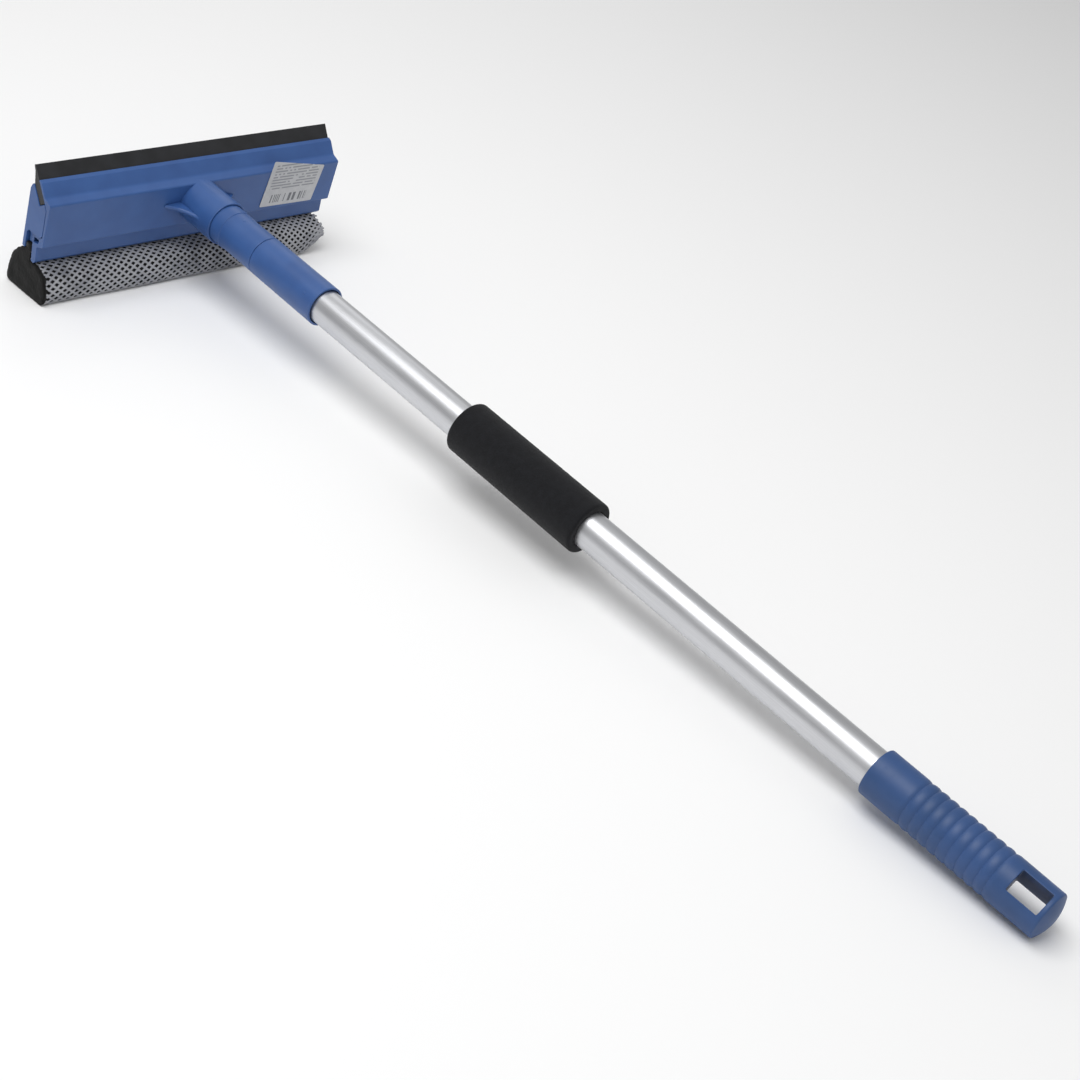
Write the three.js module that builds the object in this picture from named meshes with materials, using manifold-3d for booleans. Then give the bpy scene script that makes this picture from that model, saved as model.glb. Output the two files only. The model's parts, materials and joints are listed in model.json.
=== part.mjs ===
// Telescopic window squeegee with a netted sponge on one edge of its head and a rubber blade on the other.
// Millimetres, +Z up. The tool lies as it is laid down on a table: on the flat of its sponge and on the rim
// of its end grip. Everything is built in the pole's own frame first: X runs along the head, Y along the
// pole towards the head with y = 0 on the front face of the head's panel, and Z across both.
import * as THREE from 'three';
import { mergeVertices } from 'three/addons/utils/BufferGeometryUtils.js';
import Module from 'manifold-3d';

const wasm = await Module();
wasm.setup();

// Overall sizes
const headLength = 224;          // end to end of the two head shells
const outerTubeLength = 568;     // aluminium tube that the hands hold
const innerTubeLength = 500;     // thinner tube that telescopes out
const fit = 0.3;                 // room between pieces that touch

// Tubes
const outerTubeRadius = 11;
const tubeWall = 1;
const tubePlay = 0.5;            // room between the two tubes

// Stations along the pole, lengths measured from the panel towards the handle
const bossRim = 28.6;            // end of the socket on the head
const bossRimWall = 1;
const bossRimDepth = 4.4;        // counterbore that takes the coupling's collar
const collarLength = 8.8;        // collar length that shows below the boss
const collarStep = 0.35;         // how far the collar stands out from the coupling
const couplingLength = 30.6;     // coupling below its collar
const couplingWall = 3.05;
const spigotTaper = 0.7;
const spigotWall = 2.1;          // wall of the boss at the mouth of its socket
const innerTubeStart = 10;
const couplingRoof = 6.5;        // closed end of the coupling, over the inner tube
const ferruleLength = 58.3;
const ferruleWall = 1.8;
const ferruleNose = 4;           // end wall that guides the inner tube
const ferruleMouthDepth = 8;     // flared mouth where the tube comes out
const ferruleMouthGap = 0.75;
const foamOffset = 129.4;        // bare tube between ferrule and foam sleeve
const foamLength = 101;
const foamThickness = 4.85;

// Pegs that hold the coupling and the ferrule to their tubes
const pinRadius = 1.1;
const couplingPinAngle = 10;     // degrees from +Z towards -X
const couplingPinSetback = 8;    // from the collar
const ferrulePinAngle = 59.6;
const ferrulePinSetback = 9.2;   // from the ferrule's mouth

// End grip
const gripLength = 111;
const gripSocketDepth = 76.2;
const gripWall = 2.3;
const gripEndStep = 0.2;         // how much slimmer the closed end is
const gripDome = 3.4;            // bulge of the closed end
const ringCount = 10;
const ringPitch = 5.8;
const ringDepth = 0.85;
const firstRing = 25.6;          // from the mouth of the grip
const slotLength = 18.3;         // hanging slot, along the pole
const slotWidth = 13.1;
const slotWall = 4;              // grip left between the slot and the rim of the dome
const slotTurn = 37;             // degrees the slot is turned about the pole

// Head section, seen from its end
const panelTop = 13.4;
const panelBottom = -15.8;
const panelLean = 1.5;           // how far the foot of the panel lies behind its top
const headDepth = 21;            // front panel to rear face
const shellWall = 3;
const rearLipWall = 2.6;
const lipTop = [14.8, 23.7];     // where the blade leaves the lip
const bladeLean = 37.4;          // degrees the blade leans back
const bladeReach = 8.6;          // rubber that shows above the lip
const bladeRoot = 14.7;          // rubber held below the lip
const bladeThickness = 5.4;
const bladeTip = 1.3;
const gussetReach = 27;
const gussetDepth = 20.5;
const gussetThickness = 2.6;
const screwAcross = [-88, -34, 34, 88];
const screwHeight = -1.5;
const screwShank = 1.15;
const screwHead = 3;

// Sponge and netting
const spongeDepthBelow = 54;     // from the pole's axis to the table, under the middle of the sponge
const spongeMiddle = 13;
const padFrontFace = -6.3;       // how far the pad stands out in front of the panel
const padBehind = 11.2;          // how far the pad stands out behind the head
const padWaist = -43;            // height where the pad is deepest
const nettingThickness = 0.8;
const padEndRound = 15;          // worn round corner at the right end
const padShort = 5;              // how much the pad ends short of the right end of the shells

// Cam lock inside the tubes
const camOffset = 1.2;
const camPinRadius = 5.45;
const camPinLength = 16;
const camPlay = 0.9;

// Label
const labelThickness = 0.25;

const around = 40;
const halfHead = headLength / 2;
const innerTubeRadius = outerTubeRadius - tubeWall - tubePlay;
const ferruleRadius = outerTubeRadius + fit + ferruleWall;
const gripRadius = outerTubeRadius + fit + gripWall;
const gripEndRadius = gripRadius - gripEndStep;
const couplingRadius = innerTubeRadius + fit + couplingWall;
const bossRadius = couplingRadius + collarStep + fit + bossRimWall;
const collarEnd = bossRim + collarLength;
const couplingEnd = collarEnd + couplingLength;
const ferruleStart = couplingEnd + fit;
const ferruleEnd = ferruleStart + ferruleLength;
const outerTubeStart = ferruleStart + ferruleNose + fit;
const outerTubeEnd = outerTubeStart + outerTubeLength;
const couplingPinStation = collarEnd + couplingPinSetback;
const ferrulePinStation = ferruleEnd - ferrulePinSetback;
const foamStart = ferruleEnd + foamOffset;
const gripStart = outerTubeEnd - gripSocketDepth;
const gripRim = gripStart + gripLength - gripDome;
const slotEnd = gripRim - slotWall;
const slotStart = slotEnd - slotLength;
const innerTubeEnd = innerTubeStart + innerTubeLength;
const tableSlope = (spongeDepthBelow - gripEndRadius) / (spongeMiddle + gripRim);
const tilt = Math.atan(tableSlope);
const bladeAngle = THREE.MathUtils.degToRad(bladeLean);

const bluePlastic = new THREE.MeshStandardMaterial({ color: 0x4a70b0, roughness: 0.45, metalness: 0 });
const gripPlastic = new THREE.MeshStandardMaterial({ color: 0x3f6293, roughness: 0.5, metalness: 0 });
const blackRubber = new THREE.MeshStandardMaterial({ color: 0x26272b, roughness: 0.7, metalness: 0 });
const blackFoam = new THREE.MeshStandardMaterial({ color: 0x232327, roughness: 0.95, metalness: 0 });
const greyNetting = new THREE.MeshStandardMaterial({ color: 0xa3a5aa, roughness: 0.8, metalness: 0 });
const greyNylon = new THREE.MeshStandardMaterial({ color: 0x8c8f94, roughness: 0.5, metalness: 0 });
const satinAluminium = new THREE.MeshStandardMaterial({ color: 0xd2d3d6, roughness: 0.35, metalness: 1 });
const zincSteel = new THREE.MeshStandardMaterial({ color: 0xb9bbbd, roughness: 0.35, metalness: 1 });
const labelPaper = new THREE.MeshStandardMaterial({ color: 0xc9cdd6, roughness: 0.6, metalness: 0 });

// A closed solid from any three.js geometry, with its faces turned outwards
function solidOf(geometry) {
  const bare = geometry.clone();
  bare.deleteAttribute('normal');
  bare.deleteAttribute('uv');
  const merged = mergeVertices(bare, 1e-4);
  const corners = merged.attributes.position.array;
  const index = merged.index.array;
  const triangles = [];
  let volume = 0;
  const a = new THREE.Vector3();
  const b = new THREE.Vector3();
  const c = new THREE.Vector3();
  for (let i = 0; i < index.length; i += 3) {
    const [p, q, r] = [index[i], index[i + 1], index[i + 2]];
    if (p === q || q === r || r === p) continue;
    triangles.push(p, q, r);
    b.fromArray(corners, 3 * q);
    c.fromArray(corners, 3 * r);
    volume += a.fromArray(corners, 3 * p).dot(b.cross(c));
  }
  if (volume < 0) triangles.reverse();
  const mesh = new wasm.Mesh({
    numProp: 3,
    vertProperties: Float32Array.from(corners),
    triVerts: Uint32Array.from(triangles),
  });
  return new wasm.Manifold(mesh);
}

// A named mesh from a solid
function meshOf(name, solid, material) {
  const { vertProperties, triVerts } = solid.getMesh();
  const geometry = new THREE.BufferGeometry();
  geometry.setAttribute('position', new THREE.BufferAttribute(vertProperties, 3));
  geometry.setIndex(new THREE.BufferAttribute(triVerts, 1));
  geometry.computeVertexNormals();
  const mesh = new THREE.Mesh(geometry, material);
  mesh.name = name;
  return mesh;
}

// An outline through [a, b, corner radius] points, the radius left out where the corner is sharp
function outline(points) {
  const shape = new THREE.Shape();
  const count = points.length;
  points.forEach(([a, b, radius = 0], i) => {
    const corner = new THREE.Vector2(a, b);
    const before = new THREE.Vector2(...points[(i + count - 1) % count].slice(0, 2));
    const after = new THREE.Vector2(...points[(i + 1) % count].slice(0, 2));
    const reach = Math.min(radius, 0.45 * corner.distanceTo(before), 0.45 * corner.distanceTo(after));
    const into = corner.clone().add(before.sub(corner).setLength(reach));
    const out = corner.clone().add(after.sub(corner).setLength(reach));
    if (i === 0) shape.moveTo(into.x, into.y);
    else shape.lineTo(into.x, into.y);
    if (reach > 0) shape.quadraticCurveTo(a, b, out.x, out.y);
  });
  shape.closePath();
  return shape;
}

// Every edge of an outline moved outwards by a distance; the points run anticlockwise
function offsetOutline(points, distance) {
  const count = points.length;
  return points.map(([a, b, radius = 0], i) => {
    const corner = new THREE.Vector2(a, b);
    const before = new THREE.Vector2(...points[(i + count - 1) % count].slice(0, 2));
    const after = new THREE.Vector2(...points[(i + 1) % count].slice(0, 2));
    const first = corner.clone().sub(before).normalize();
    const second = after.sub(corner).normalize();
    const normal = new THREE.Vector2(first.y + second.y, -first.x - second.x).normalize();
    const spread = normal.dot(new THREE.Vector2(first.y, -first.x));
    const moved = corner.addScaledVector(normal, distance / Math.max(spread, 0.5));
    return [moved.x, moved.y, Math.max(radius + distance, 0)];
  });
}

const axisX = new THREE.Vector3(1, 0, 0);
const axisY = new THREE.Vector3(0, 1, 0);
const axisZ = new THREE.Vector3(0, 0, 1);

// A bar along X with a [y, z] section
function barAlongX(points, left, right, curveSegments = 3) {
  const geometry = new THREE.ExtrudeGeometry(outline(points), {
    depth: right - left, bevelEnabled: false, curveSegments,
  });
  geometry.applyMatrix4(new THREE.Matrix4().makeBasis(axisY, axisZ, axisX));
  geometry.translate(left, 0, 0);
  return solidOf(geometry);
}

// A bar along Y with an [x, z] section
function barAlongY(points, near, far, curveSegments = 5) {
  const geometry = new THREE.ExtrudeGeometry(outline(points), {
    depth: far - near, bevelEnabled: false, curveSegments,
  });
  geometry.applyMatrix4(new THREE.Matrix4().makeBasis(axisX, axisZ, axisY.clone().negate()));
  geometry.translate(0, far, 0);
  return solidOf(geometry);
}

// A turned piece about the pole's axis; each point is [radius, station towards the handle]
function turned(points, segments = around) {
  const closed = points[0][0] === 0 ? points : [...points, points[0]];
  const profile = closed.map(([radius, station]) => new THREE.Vector2(radius, -station));
  return solidOf(new THREE.LatheGeometry(profile, segments));
}

// A plain tube between two stations
function sleeve(inner, outer, start, end) {
  return turned([[inner, start], [outer, start], [outer, end], [inner, end]]);
}

// A plain rod along Y between two y values, with its axis at x and z
function rodAlongY(radius, x, z, near, far, segments = 20) {
  const geometry = new THREE.CylinderGeometry(radius, radius, far - near, segments);
  geometry.translate(x, (near + far) / 2, z);
  return solidOf(geometry);
}

// A plain rod that points out from the pole's axis at an angle from +Z towards -X
function radialRod(radius, angle, station, from, to) {
  const geometry = new THREE.CylinderGeometry(radius, radius, to - from, 16);
  geometry.rotateX(Math.PI / 2);
  geometry.translate(0, -station, (from + to) / 2);
  geometry.rotateY(-THREE.MathUtils.degToRad(angle));
  return solidOf(geometry);
}

// A point of the head's section, along the blade's lean and behind its front face
function bladePoint(along, behind) {
  const across = Math.sin(bladeAngle);
  const up = Math.cos(bladeAngle);
  return [lipTop[0] + along * across + behind * up, lipTop[1] + along * up - behind * across];
}

// Height of the table in the pole's frame, under a given y
const tableAt = (y) => -spongeDepthBelow - tableSlope * (y - spongeMiddle);

const slotFloor = -bladeRoot - fit - 0.2;
const slotRear = bladeThickness + 0.4;
const channelRoof = -11.6;
const channelFront = 5.8;
const hookTop = -17;
const hookRear = 11.6;
const frontLipFoot = -30;
const rearLipFoot = -24.6;
const rearLipFront = headDepth - rearLipWall;
const pillarEnd = 7.7;
const screwSeat = 11;

// Front moulding: panel, blade lip, lower lip, socket boss with two gussets, and the screw pillars
function makeFrontShell() {
  const section = [
    [...bladePoint(0, -fit)],
    [lipTop[0] - 3.5, lipTop[1] - 1.1, 0.8],
    [5.9, panelTop + 1.9, 3],
    [0, panelTop, 1.8],
    [panelLean, panelBottom, 0.8],
    [6.9, panelBottom - 2.4, 0.6],
    [6.4, frontLipFoot + 2, 0.8],
    [8.2, frontLipFoot, 0.8],
    [10.5, frontLipFoot + 0.4, 0.5],
    [hookRear, hookTop],
    [channelFront, hookTop + 1.6],
    [channelFront, channelRoof - 0.6],
    [shellWall, channelRoof + 2.2],
    [shellWall, 8.6],
    [...bladePoint(slotFloor, -fit)],
  ];
  const boss = turned([[0, -shellWall + 0.2], [bossRadius, -shellWall + 0.2], [bossRadius, bossRim - 0.5],
    [bossRadius - 0.5, bossRim], [0, bossRim]]);
  const socketMouth = bossRadius - spigotWall;
  const socket = turned([[0, 0.4], [socketMouth - spigotTaper, 0.4],
    [socketMouth, bossRim - bossRimDepth], [bossRadius - bossRimWall, bossRim - bossRimDepth],
    [bossRadius - bossRimWall, bossRim + 1], [0, bossRim + 1]]);
  let shell = barAlongX(section, -halfHead, halfHead).add(boss);
  for (const side of [-1, 1]) shell = shell.add(makeGusset(side));
  for (const x of screwAcross) {
    shell = shell.add(rodAlongY(3.4, x, screwHeight, shellWall - 1, pillarEnd));
    shell = shell.subtract(rodAlongY(screwShank + fit, x, screwHeight, shellWall - 0.4, pillarEnd + 1, 16));
  }
  return shell.subtract(socket);
}

// A curved fin between the panel and the side of the boss
function makeGusset(side) {
  const shape = new THREE.Shape();
  shape.moveTo(gussetReach, -1);
  shape.lineTo(gussetReach, 0);
  const root = bossRadius - 0.4;
  shape.bezierCurveTo(bossRadius + 6, 5, bossRadius + 2, 9, root, gussetDepth);
  shape.lineTo(bossRadius - 1.6, gussetDepth);
  shape.lineTo(bossRadius - 1.6, -1);
  shape.closePath();
  const geometry = new THREE.ExtrudeGeometry(shape, {
    depth: gussetThickness, bevelEnabled: false, curveSegments: 6,
  });
  geometry.translate(0, 0, -gussetThickness / 2);
  geometry.rotateX(Math.PI);
  const fin = solidOf(geometry);
  return side > 0 ? fin : fin.mirror([1, 0, 0]);
}

// Rear moulding: closes the head, backs the blade and forms the roof of the pad's channel
function makeRearShell() {
  const section = [
    [shellWall + 0.4, 8.4],
    [...bladePoint(slotFloor, fit)],
    [...bladePoint(slotFloor, slotRear)],
    [...bladePoint(-2, slotRear)],
    [headDepth - 1.5, panelTop + 4.7, 0.6],
    [headDepth, panelTop + 1.4, 1.6],
    [headDepth, rearLipFoot, 0.8],
    [rearLipFront, rearLipFoot, 0.5],
    [rearLipFront, channelRoof - 2],
    [rearLipFront - 1.8, channelRoof],
    [channelFront + 0.2, channelRoof],
    [shellWall + 0.4, channelRoof + 2.6],
  ];
  const wall = 2.3;
  const hollow = [
    [1, channelRoof + wall],
    [headDepth - wall, channelRoof + wall],
    [headDepth - wall, panelTop],
    [headDepth - 4, panelTop],
    [headDepth - 8.8, 6.3],
    [1, 6.3],
  ];
  const inside = halfHead - wall - 0.5;
  let shell = barAlongX(section, -halfHead, halfHead).subtract(barAlongX(hollow, -inside, inside));
  for (const x of screwAcross) {
    shell = shell.add(rodAlongY(4.6, x, screwHeight, pillarEnd + fit, headDepth - 1));
    shell = shell.subtract(rodAlongY(screwHead + 0.4, x, screwHeight, screwSeat, headDepth + 1));
    shell = shell.subtract(rodAlongY(screwShank + 0.5, x, screwHeight, pillarEnd - 1, screwSeat + 1, 16));
  }
  return shell;
}

// Wedge of rubber whose thick root is gripped between the shells
function makeBlade() {
  const inset = 0.4;
  return barAlongX([
    [...bladePoint(bladeReach, 0)],
    [...bladePoint(-bladeRoot, 0), 1],
    [...bladePoint(-bladeRoot, bladeThickness), 1],
    [...bladePoint(-1.8, bladeThickness)],
    [...bladePoint(bladeReach - 3.4, bladeTip + 0.6)],
    [...bladePoint(bladeReach, bladeTip)],
  ], -halfHead + inset, halfHead - inset);
}

// Pan-head screw, its head towards the rear of the head
function makeShellScrew(x) {
  const seat = -screwSeat - fit;
  const tip = -shellWall - 0.2;
  const rod = turned([[0, seat - 2], [screwHead - 0.9, seat - 2], [screwHead - 0.2, seat - 1.3],
    [screwHead, seat], [screwShank, seat], [screwShank, tip - 1.6], [0.3, tip], [0, tip]], 16);
  const arm = new THREE.BoxGeometry(0.8, 2, 3.6).translate(0, -seat + 2, 0);
  const crossArm = new THREE.BoxGeometry(3.6, 2, 0.8).translate(0, -seat + 2, 0);
  return rod.subtract(solidOf(arm)).subtract(solidOf(crossArm)).translate([x, 0, screwHeight]);
}

// Section of the pad as its netting shows it, anticlockwise, seen from the right end
function padSection() {
  const neckTop = -20;
  const neckFront = hookRear + 0.4;
  const neckRear = rearLipFront - 0.4;
  const padRear = headDepth + padBehind;
  return [
    [neckFront, neckTop],
    [neckFront, frontLipFoot - 0.5, 0.4],
    [6, frontLipFoot - 0.6, 1.5],
    [0.6, frontLipFoot + 1.7, 3],
    [padFrontFace + 2.3, frontLipFoot - 2.6, 3],
    [padFrontFace - 0.4, padWaist, 6],
    [padFrontFace, tableAt(padFrontFace), 4],
    [padRear, tableAt(padRear), 3],
    [padRear - 0.6, padWaist, 6],
    [padRear - 2.4, padWaist + 8, 5],
    [headDepth + 4, rearLipFoot - 3.8, 4],
    [headDepth - 0.5, rearLipFoot - 0.4, 1.5],
    [neckRear, rearLipFoot - 0.4],
    [neckRear, neckTop],
  ];
}

// The pad's outline from the front: square at its left end, worn round at its right end
function padFront(grow) {
  const right = halfHead - padShort + grow;
  const left = -halfHead + 0.6 - (grow > 0 ? 1 : 0);
  const top = -10;
  const bottom = tableAt(headDepth + 20) - 2;
  const floor = tableAt(spongeMiddle) - grow;
  const round = padEndRound + grow;
  return [[left, bottom], [left, top], [right, top], [right, floor + round, round],
    [right - 0.3 * round, floor + 0.3 * round, 2], [right - round, floor, round], [right - round, bottom]];
}

// Foam block, cut to the netting's inside
function makeSponge() {
  const section = offsetOutline(padSection(), -nettingThickness - fit);
  const block = barAlongX(section, -halfHead + 0.6, halfHead);
  return block.intersect(barAlongY(padFront(-nettingThickness - fit), -20, 50));
}

// Netting drawn round the foam, its two edges led up into the channel
function makeNetting() {
  const outside = padSection();
  const inside = offsetOutline(outside, -nettingThickness);
  const open = [[inside[0][0], 0], ...inside, [inside[inside.length - 1][0], 0]];
  const band = barAlongX(outside, -halfHead + 0.6, halfHead).intersect(barAlongY(padFront(0), -20, 50));
  const room = barAlongX(open, -halfHead - 1, halfHead + 1)
    .intersect(barAlongY(padFront(-nettingThickness), -20, 50));
  return band.subtract(room);
}

// Rail that the foam is glued to; its flange hangs on the front shell's hook
function makePadRail() {
  const flangeFoot = hookTop + 2.4;
  return barAlongX([
    [channelFront + 0.6, channelRoof - 0.5],
    [channelFront + 0.6, flangeFoot],
    [hookRear + 1.3, flangeFoot],
    [hookRear + 1.3, -19.2],
    [rearLipFront - 1.3, -19.2],
    [rearLipFront - 1.3, flangeFoot],
    [rearLipFront - 0.6, flangeFoot],
    [rearLipFront - 0.6, channelRoof - 2],
    [rearLipFront - 2, channelRoof - 0.5],
  ], -halfHead + 2, halfHead - padShort - 2);
}

// Thin paper label, turned a little, its foot trimmed to the panel and one corner standing over its top
function makeLabel() {
  const shape = outline([[51.8, -13.1, 1], [95.8, -14.1, 1], [99.5, 12.5, 1], [55.7, 20.6, 1]]);
  const geometry = new THREE.ExtrudeGeometry(shape, {
    depth: labelThickness, bevelEnabled: false, curveSegments: 2,
  });
  geometry.rotateX(Math.PI / 2);
  geometry.translate(0, -fit, 0);
  const slope = Math.atan(panelLean / (panelTop - panelBottom));
  geometry.translate(0, 0, -panelTop);
  geometry.rotateX(slope);
  geometry.translate(0, 0, panelTop);
  return solidOf(geometry);
}

// Coupling on the inner tube; its tapered spigot fills the boss's socket
function makeCoupling() {
  const collarRadius = bossRadius - bossRimWall - fit;
  const mouth = bossRadius - spigotWall - fit;
  const top = innerTubeStart - couplingRoof;
  const body = turned([[0, top], [mouth - spigotTaper, top], [mouth, bossRim - bossRimDepth + fit],
    [collarRadius, bossRim - bossRimDepth + fit], [collarRadius, collarEnd - 0.4],
    [collarRadius - 0.4, collarEnd], [couplingRadius, collarEnd], [couplingRadius, couplingEnd],
    [0, couplingEnd]]);
  const bore = turned([[0, innerTubeStart - fit], [innerTubeRadius + fit, innerTubeStart - fit],
    [innerTubeRadius + fit, couplingEnd + 1], [0, couplingEnd + 1]]);
  return body.subtract(bore).subtract(makeCouplingPinHole());
}

// Peg through a sleeve and its tube, with a slightly domed outer end
function makePin(angle, station, from, to) {
  return radialRod(pinRadius, angle, station, from, to)
    .add(radialRod(pinRadius * 0.6, angle, station, to - 0.5, to + 0.15));
}

function makeCouplingPin() {
  return makePin(couplingPinAngle, couplingPinStation, innerTubeRadius - 0.7, couplingRadius);
}

function makeFerrulePin() {
  return makePin(ferrulePinAngle, ferrulePinStation, outerTubeRadius - 0.7, ferruleRadius);
}

// Sleeve on the outer tube's mouth; its nose guides the inner tube
function makeFerrule() {
  const noseBore = innerTubeRadius + fit;
  const seat = outerTubeRadius + fit;
  const seatStart = outerTubeStart - fit;
  const mouth = outerTubeRadius + ferruleMouthGap;
  const mouthStart = ferruleEnd - ferruleMouthDepth;
  const body = turned([[noseBore, ferruleStart], [ferruleRadius - 0.55, ferruleStart],
    [ferruleRadius - 0.15, ferruleStart + 0.4], [ferruleRadius, ferruleEnd - 0.3],
    [ferruleRadius - 0.3, ferruleEnd], [mouth, ferruleEnd], [mouth, mouthStart], [seat, mouthStart - 1],
    [seat, seatStart], [noseBore, seatStart]]);
  return body.subtract(makeFerrulePinHole());
}

// Hole for the peg through the ferrule and the outer tube
function makeFerrulePinHole() {
  return radialRod(pinRadius + fit, ferrulePinAngle, ferrulePinStation, 5, ferruleRadius + 3);
}

// Hole for the peg through the coupling and the inner tube
function makeCouplingPinHole() {
  return radialRod(pinRadius + fit, couplingPinAngle, couplingPinStation, 5, bossRadius + 3);
}

function makeOuterTube() {
  const tube = sleeve(outerTubeRadius - tubeWall, outerTubeRadius, outerTubeStart, outerTubeEnd);
  return tube.subtract(makeFerrulePinHole());
}

function makeInnerTube() {
  const tube = sleeve(innerTubeRadius - tubeWall, innerTubeRadius, innerTubeStart, innerTubeEnd);
  return tube.subtract(makeCouplingPinHole());
}

// Foam tube pushed on the pole, its ends rounded by the die that cut it
function makeFoamSleeve() {
  const bore = outerTubeRadius + fit;
  const skin = outerTubeRadius + fit + foamThickness;
  const end = foamStart + foamLength;
  return turned([[bore, foamStart + 0.4], [bore + 0.6, foamStart], [skin - 1.2, foamStart],
    [skin - 0.3, foamStart + 0.5], [skin, foamStart + 1.6], [skin, end - 1.6], [skin - 0.3, end - 0.5],
    [skin - 1.2, end], [bore + 0.6, end], [bore, end - 0.4]]);
}

// Closed plastic grip with turned rings and a hanging slot
function makeEndGrip() {
  const profile = [[0, gripRim + gripDome]];
  for (const share of [0.45, 0.8, 0.95]) {
    profile.push([gripEndRadius * share, gripRim + gripDome * (1 - share * share)]);
  }
  profile.push([gripEndRadius, gripRim - 0.4]);
  for (let i = ringCount - 1; i >= 0; i -= 1) {
    const groove = gripStart + firstRing + i * ringPitch;
    profile.push([gripRadius, groove + 0.34 * ringPitch]);
    profile.push([gripRadius - ringDepth, groove]);
    profile.push([gripRadius, groove - 0.34 * ringPitch]);
  }
  profile.push([gripRadius, gripStart + 0.8], [gripRadius - 0.6, gripStart]);
  const socketRadius = outerTubeRadius + fit;
  const socketEnd = outerTubeEnd + fit;
  profile.push([socketRadius, gripStart], [socketRadius, socketEnd], [0, socketEnd]);
  const body = turned(profile);
  const slot = new THREE.BoxGeometry(slotWidth, slotLength, 4 * gripRadius);
  slot.translate(0, -(slotStart + slotEnd) / 2, 0);
  slot.rotateY(-THREE.MathUtils.degToRad(slotTurn));
  return body.subtract(solidOf(slot));
}

const plugFlange = 2.7;
const camStart = innerTubeEnd + plugFlange + fit;
const camEnd = camStart + camPinLength;
const lockScrewRadius = 1;

// Plug pressed into the inner tube's end; its off-centre pin is the cam
function makeLockPlug() {
  const stemRadius = innerTubeRadius - tubeWall - fit;
  const flangeRadius = innerTubeRadius - 0.1;
  const pilotRadius = lockScrewRadius + fit;
  const stem = turned([[0, innerTubeEnd - 24], [stemRadius - 0.6, innerTubeEnd - 24],
    [stemRadius, innerTubeEnd - 22], [stemRadius, innerTubeEnd + fit], [flangeRadius, innerTubeEnd + fit],
    [flangeRadius, camStart], [0, camStart]]);
  const pin = turned([[0, camStart - 1], [camPinRadius, camStart - 1], [camPinRadius, camEnd], [0, camEnd]])
    .translate([camOffset, 0, 0]);
  const pilot = turned([[0, camEnd - 11], [pilotRadius, camEnd - 11], [pilotRadius, camEnd + 1],
    [0, camEnd + 1]], 16);
  return stem.add(pin).subtract(pilot);
}

// Split ring that the cam spreads against the wall of the outer tube
function makeLockRing() {
  const start = camStart + 0.5;
  const end = camEnd - 0.5;
  const skin = outerTubeRadius - tubeWall - fit;
  const boreRadius = camPinRadius + camPlay;
  const ring = turned([[0, start], [skin - 0.4, start], [skin, start + 0.8], [skin, end - 0.8],
    [skin - 0.4, end], [0, end]]);
  const bore = turned([[0, start - 1], [boreRadius, start - 1], [boreRadius, end + 1], [0, end + 1]])
    .translate([camOffset, 0, 0]);
  const split = new THREE.BoxGeometry(outerTubeRadius, 2 * camPinLength, 2);
  split.translate(outerTubeRadius / 2 + camPinRadius, -(start + end) / 2, 0);
  return ring.subtract(bore).subtract(solidOf(split));
}

// Washer that keeps the ring on its cam
function makeLockWasher() {
  return sleeve(lockScrewRadius + fit, outerTubeRadius - tubeWall - 1.2, camEnd + fit, camEnd + fit + 1.5);
}

function makeLockScrew() {
  const seat = camEnd + 1.5 + 2 * fit;
  return turned([[0, camEnd - 10], [0.3, camEnd - 10], [lockScrewRadius, camEnd - 8],
    [lockScrewRadius, seat], [2.9, seat], [2.7, seat + 1.2], [2, seat + 1.8], [0, seat + 1.8]], 16);
}

const squeegee = new THREE.Group();
squeegee.add(
  meshOf('front_shell', makeFrontShell(), bluePlastic),
  meshOf('rear_shell', makeRearShell(), bluePlastic),
  meshOf('rubber_blade', makeBlade(), blackRubber),
  meshOf('pad_rail', makePadRail(), bluePlastic),
  meshOf('sponge', makeSponge(), blackFoam),
  meshOf('netting', makeNetting(), greyNetting),
  meshOf('label', makeLabel(), labelPaper),
);
screwAcross.forEach((x, i) => {
  squeegee.add(meshOf(`shell_screw_${i + 1}`, makeShellScrew(x), zincSteel));
});
squeegee.add(
  meshOf('coupling', makeCoupling(), bluePlastic),
  meshOf('coupling_pin', makeCouplingPin(), bluePlastic),
  meshOf('inner_tube', makeInnerTube(), satinAluminium),
  meshOf('lock_plug', makeLockPlug(), greyNylon),
  meshOf('lock_ring', makeLockRing(), greyNylon),
  meshOf('lock_washer', makeLockWasher(), greyNylon),
  meshOf('lock_screw', makeLockScrew(), zincSteel),
  meshOf('outer_tube', makeOuterTube(), satinAluminium),
  meshOf('ferrule', makeFerrule(), bluePlastic),
  meshOf('ferrule_pin', makeFerrulePin(), bluePlastic),
  meshOf('foam_sleeve', makeFoamSleeve(), blackFoam),
  meshOf('end_grip', makeEndGrip(), gripPlastic),
);

// Laid on the table: the pole falls from head to grip, and the origin is under the middle of the tool
squeegee.rotation.x = tilt;
squeegee.updateMatrixWorld(true);
const box = new THREE.Box3().setFromObject(squeegee, true);
squeegee.position.set(-(box.min.x + box.max.x) / 2, -(box.min.y + box.max.y) / 2, -box.min.z);

const model = new THREE.Group();
model.add(squeegee);

export default model;
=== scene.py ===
import json
import math
import bmesh
import bpy
from mathutils import Matrix, Vector, noise


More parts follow.
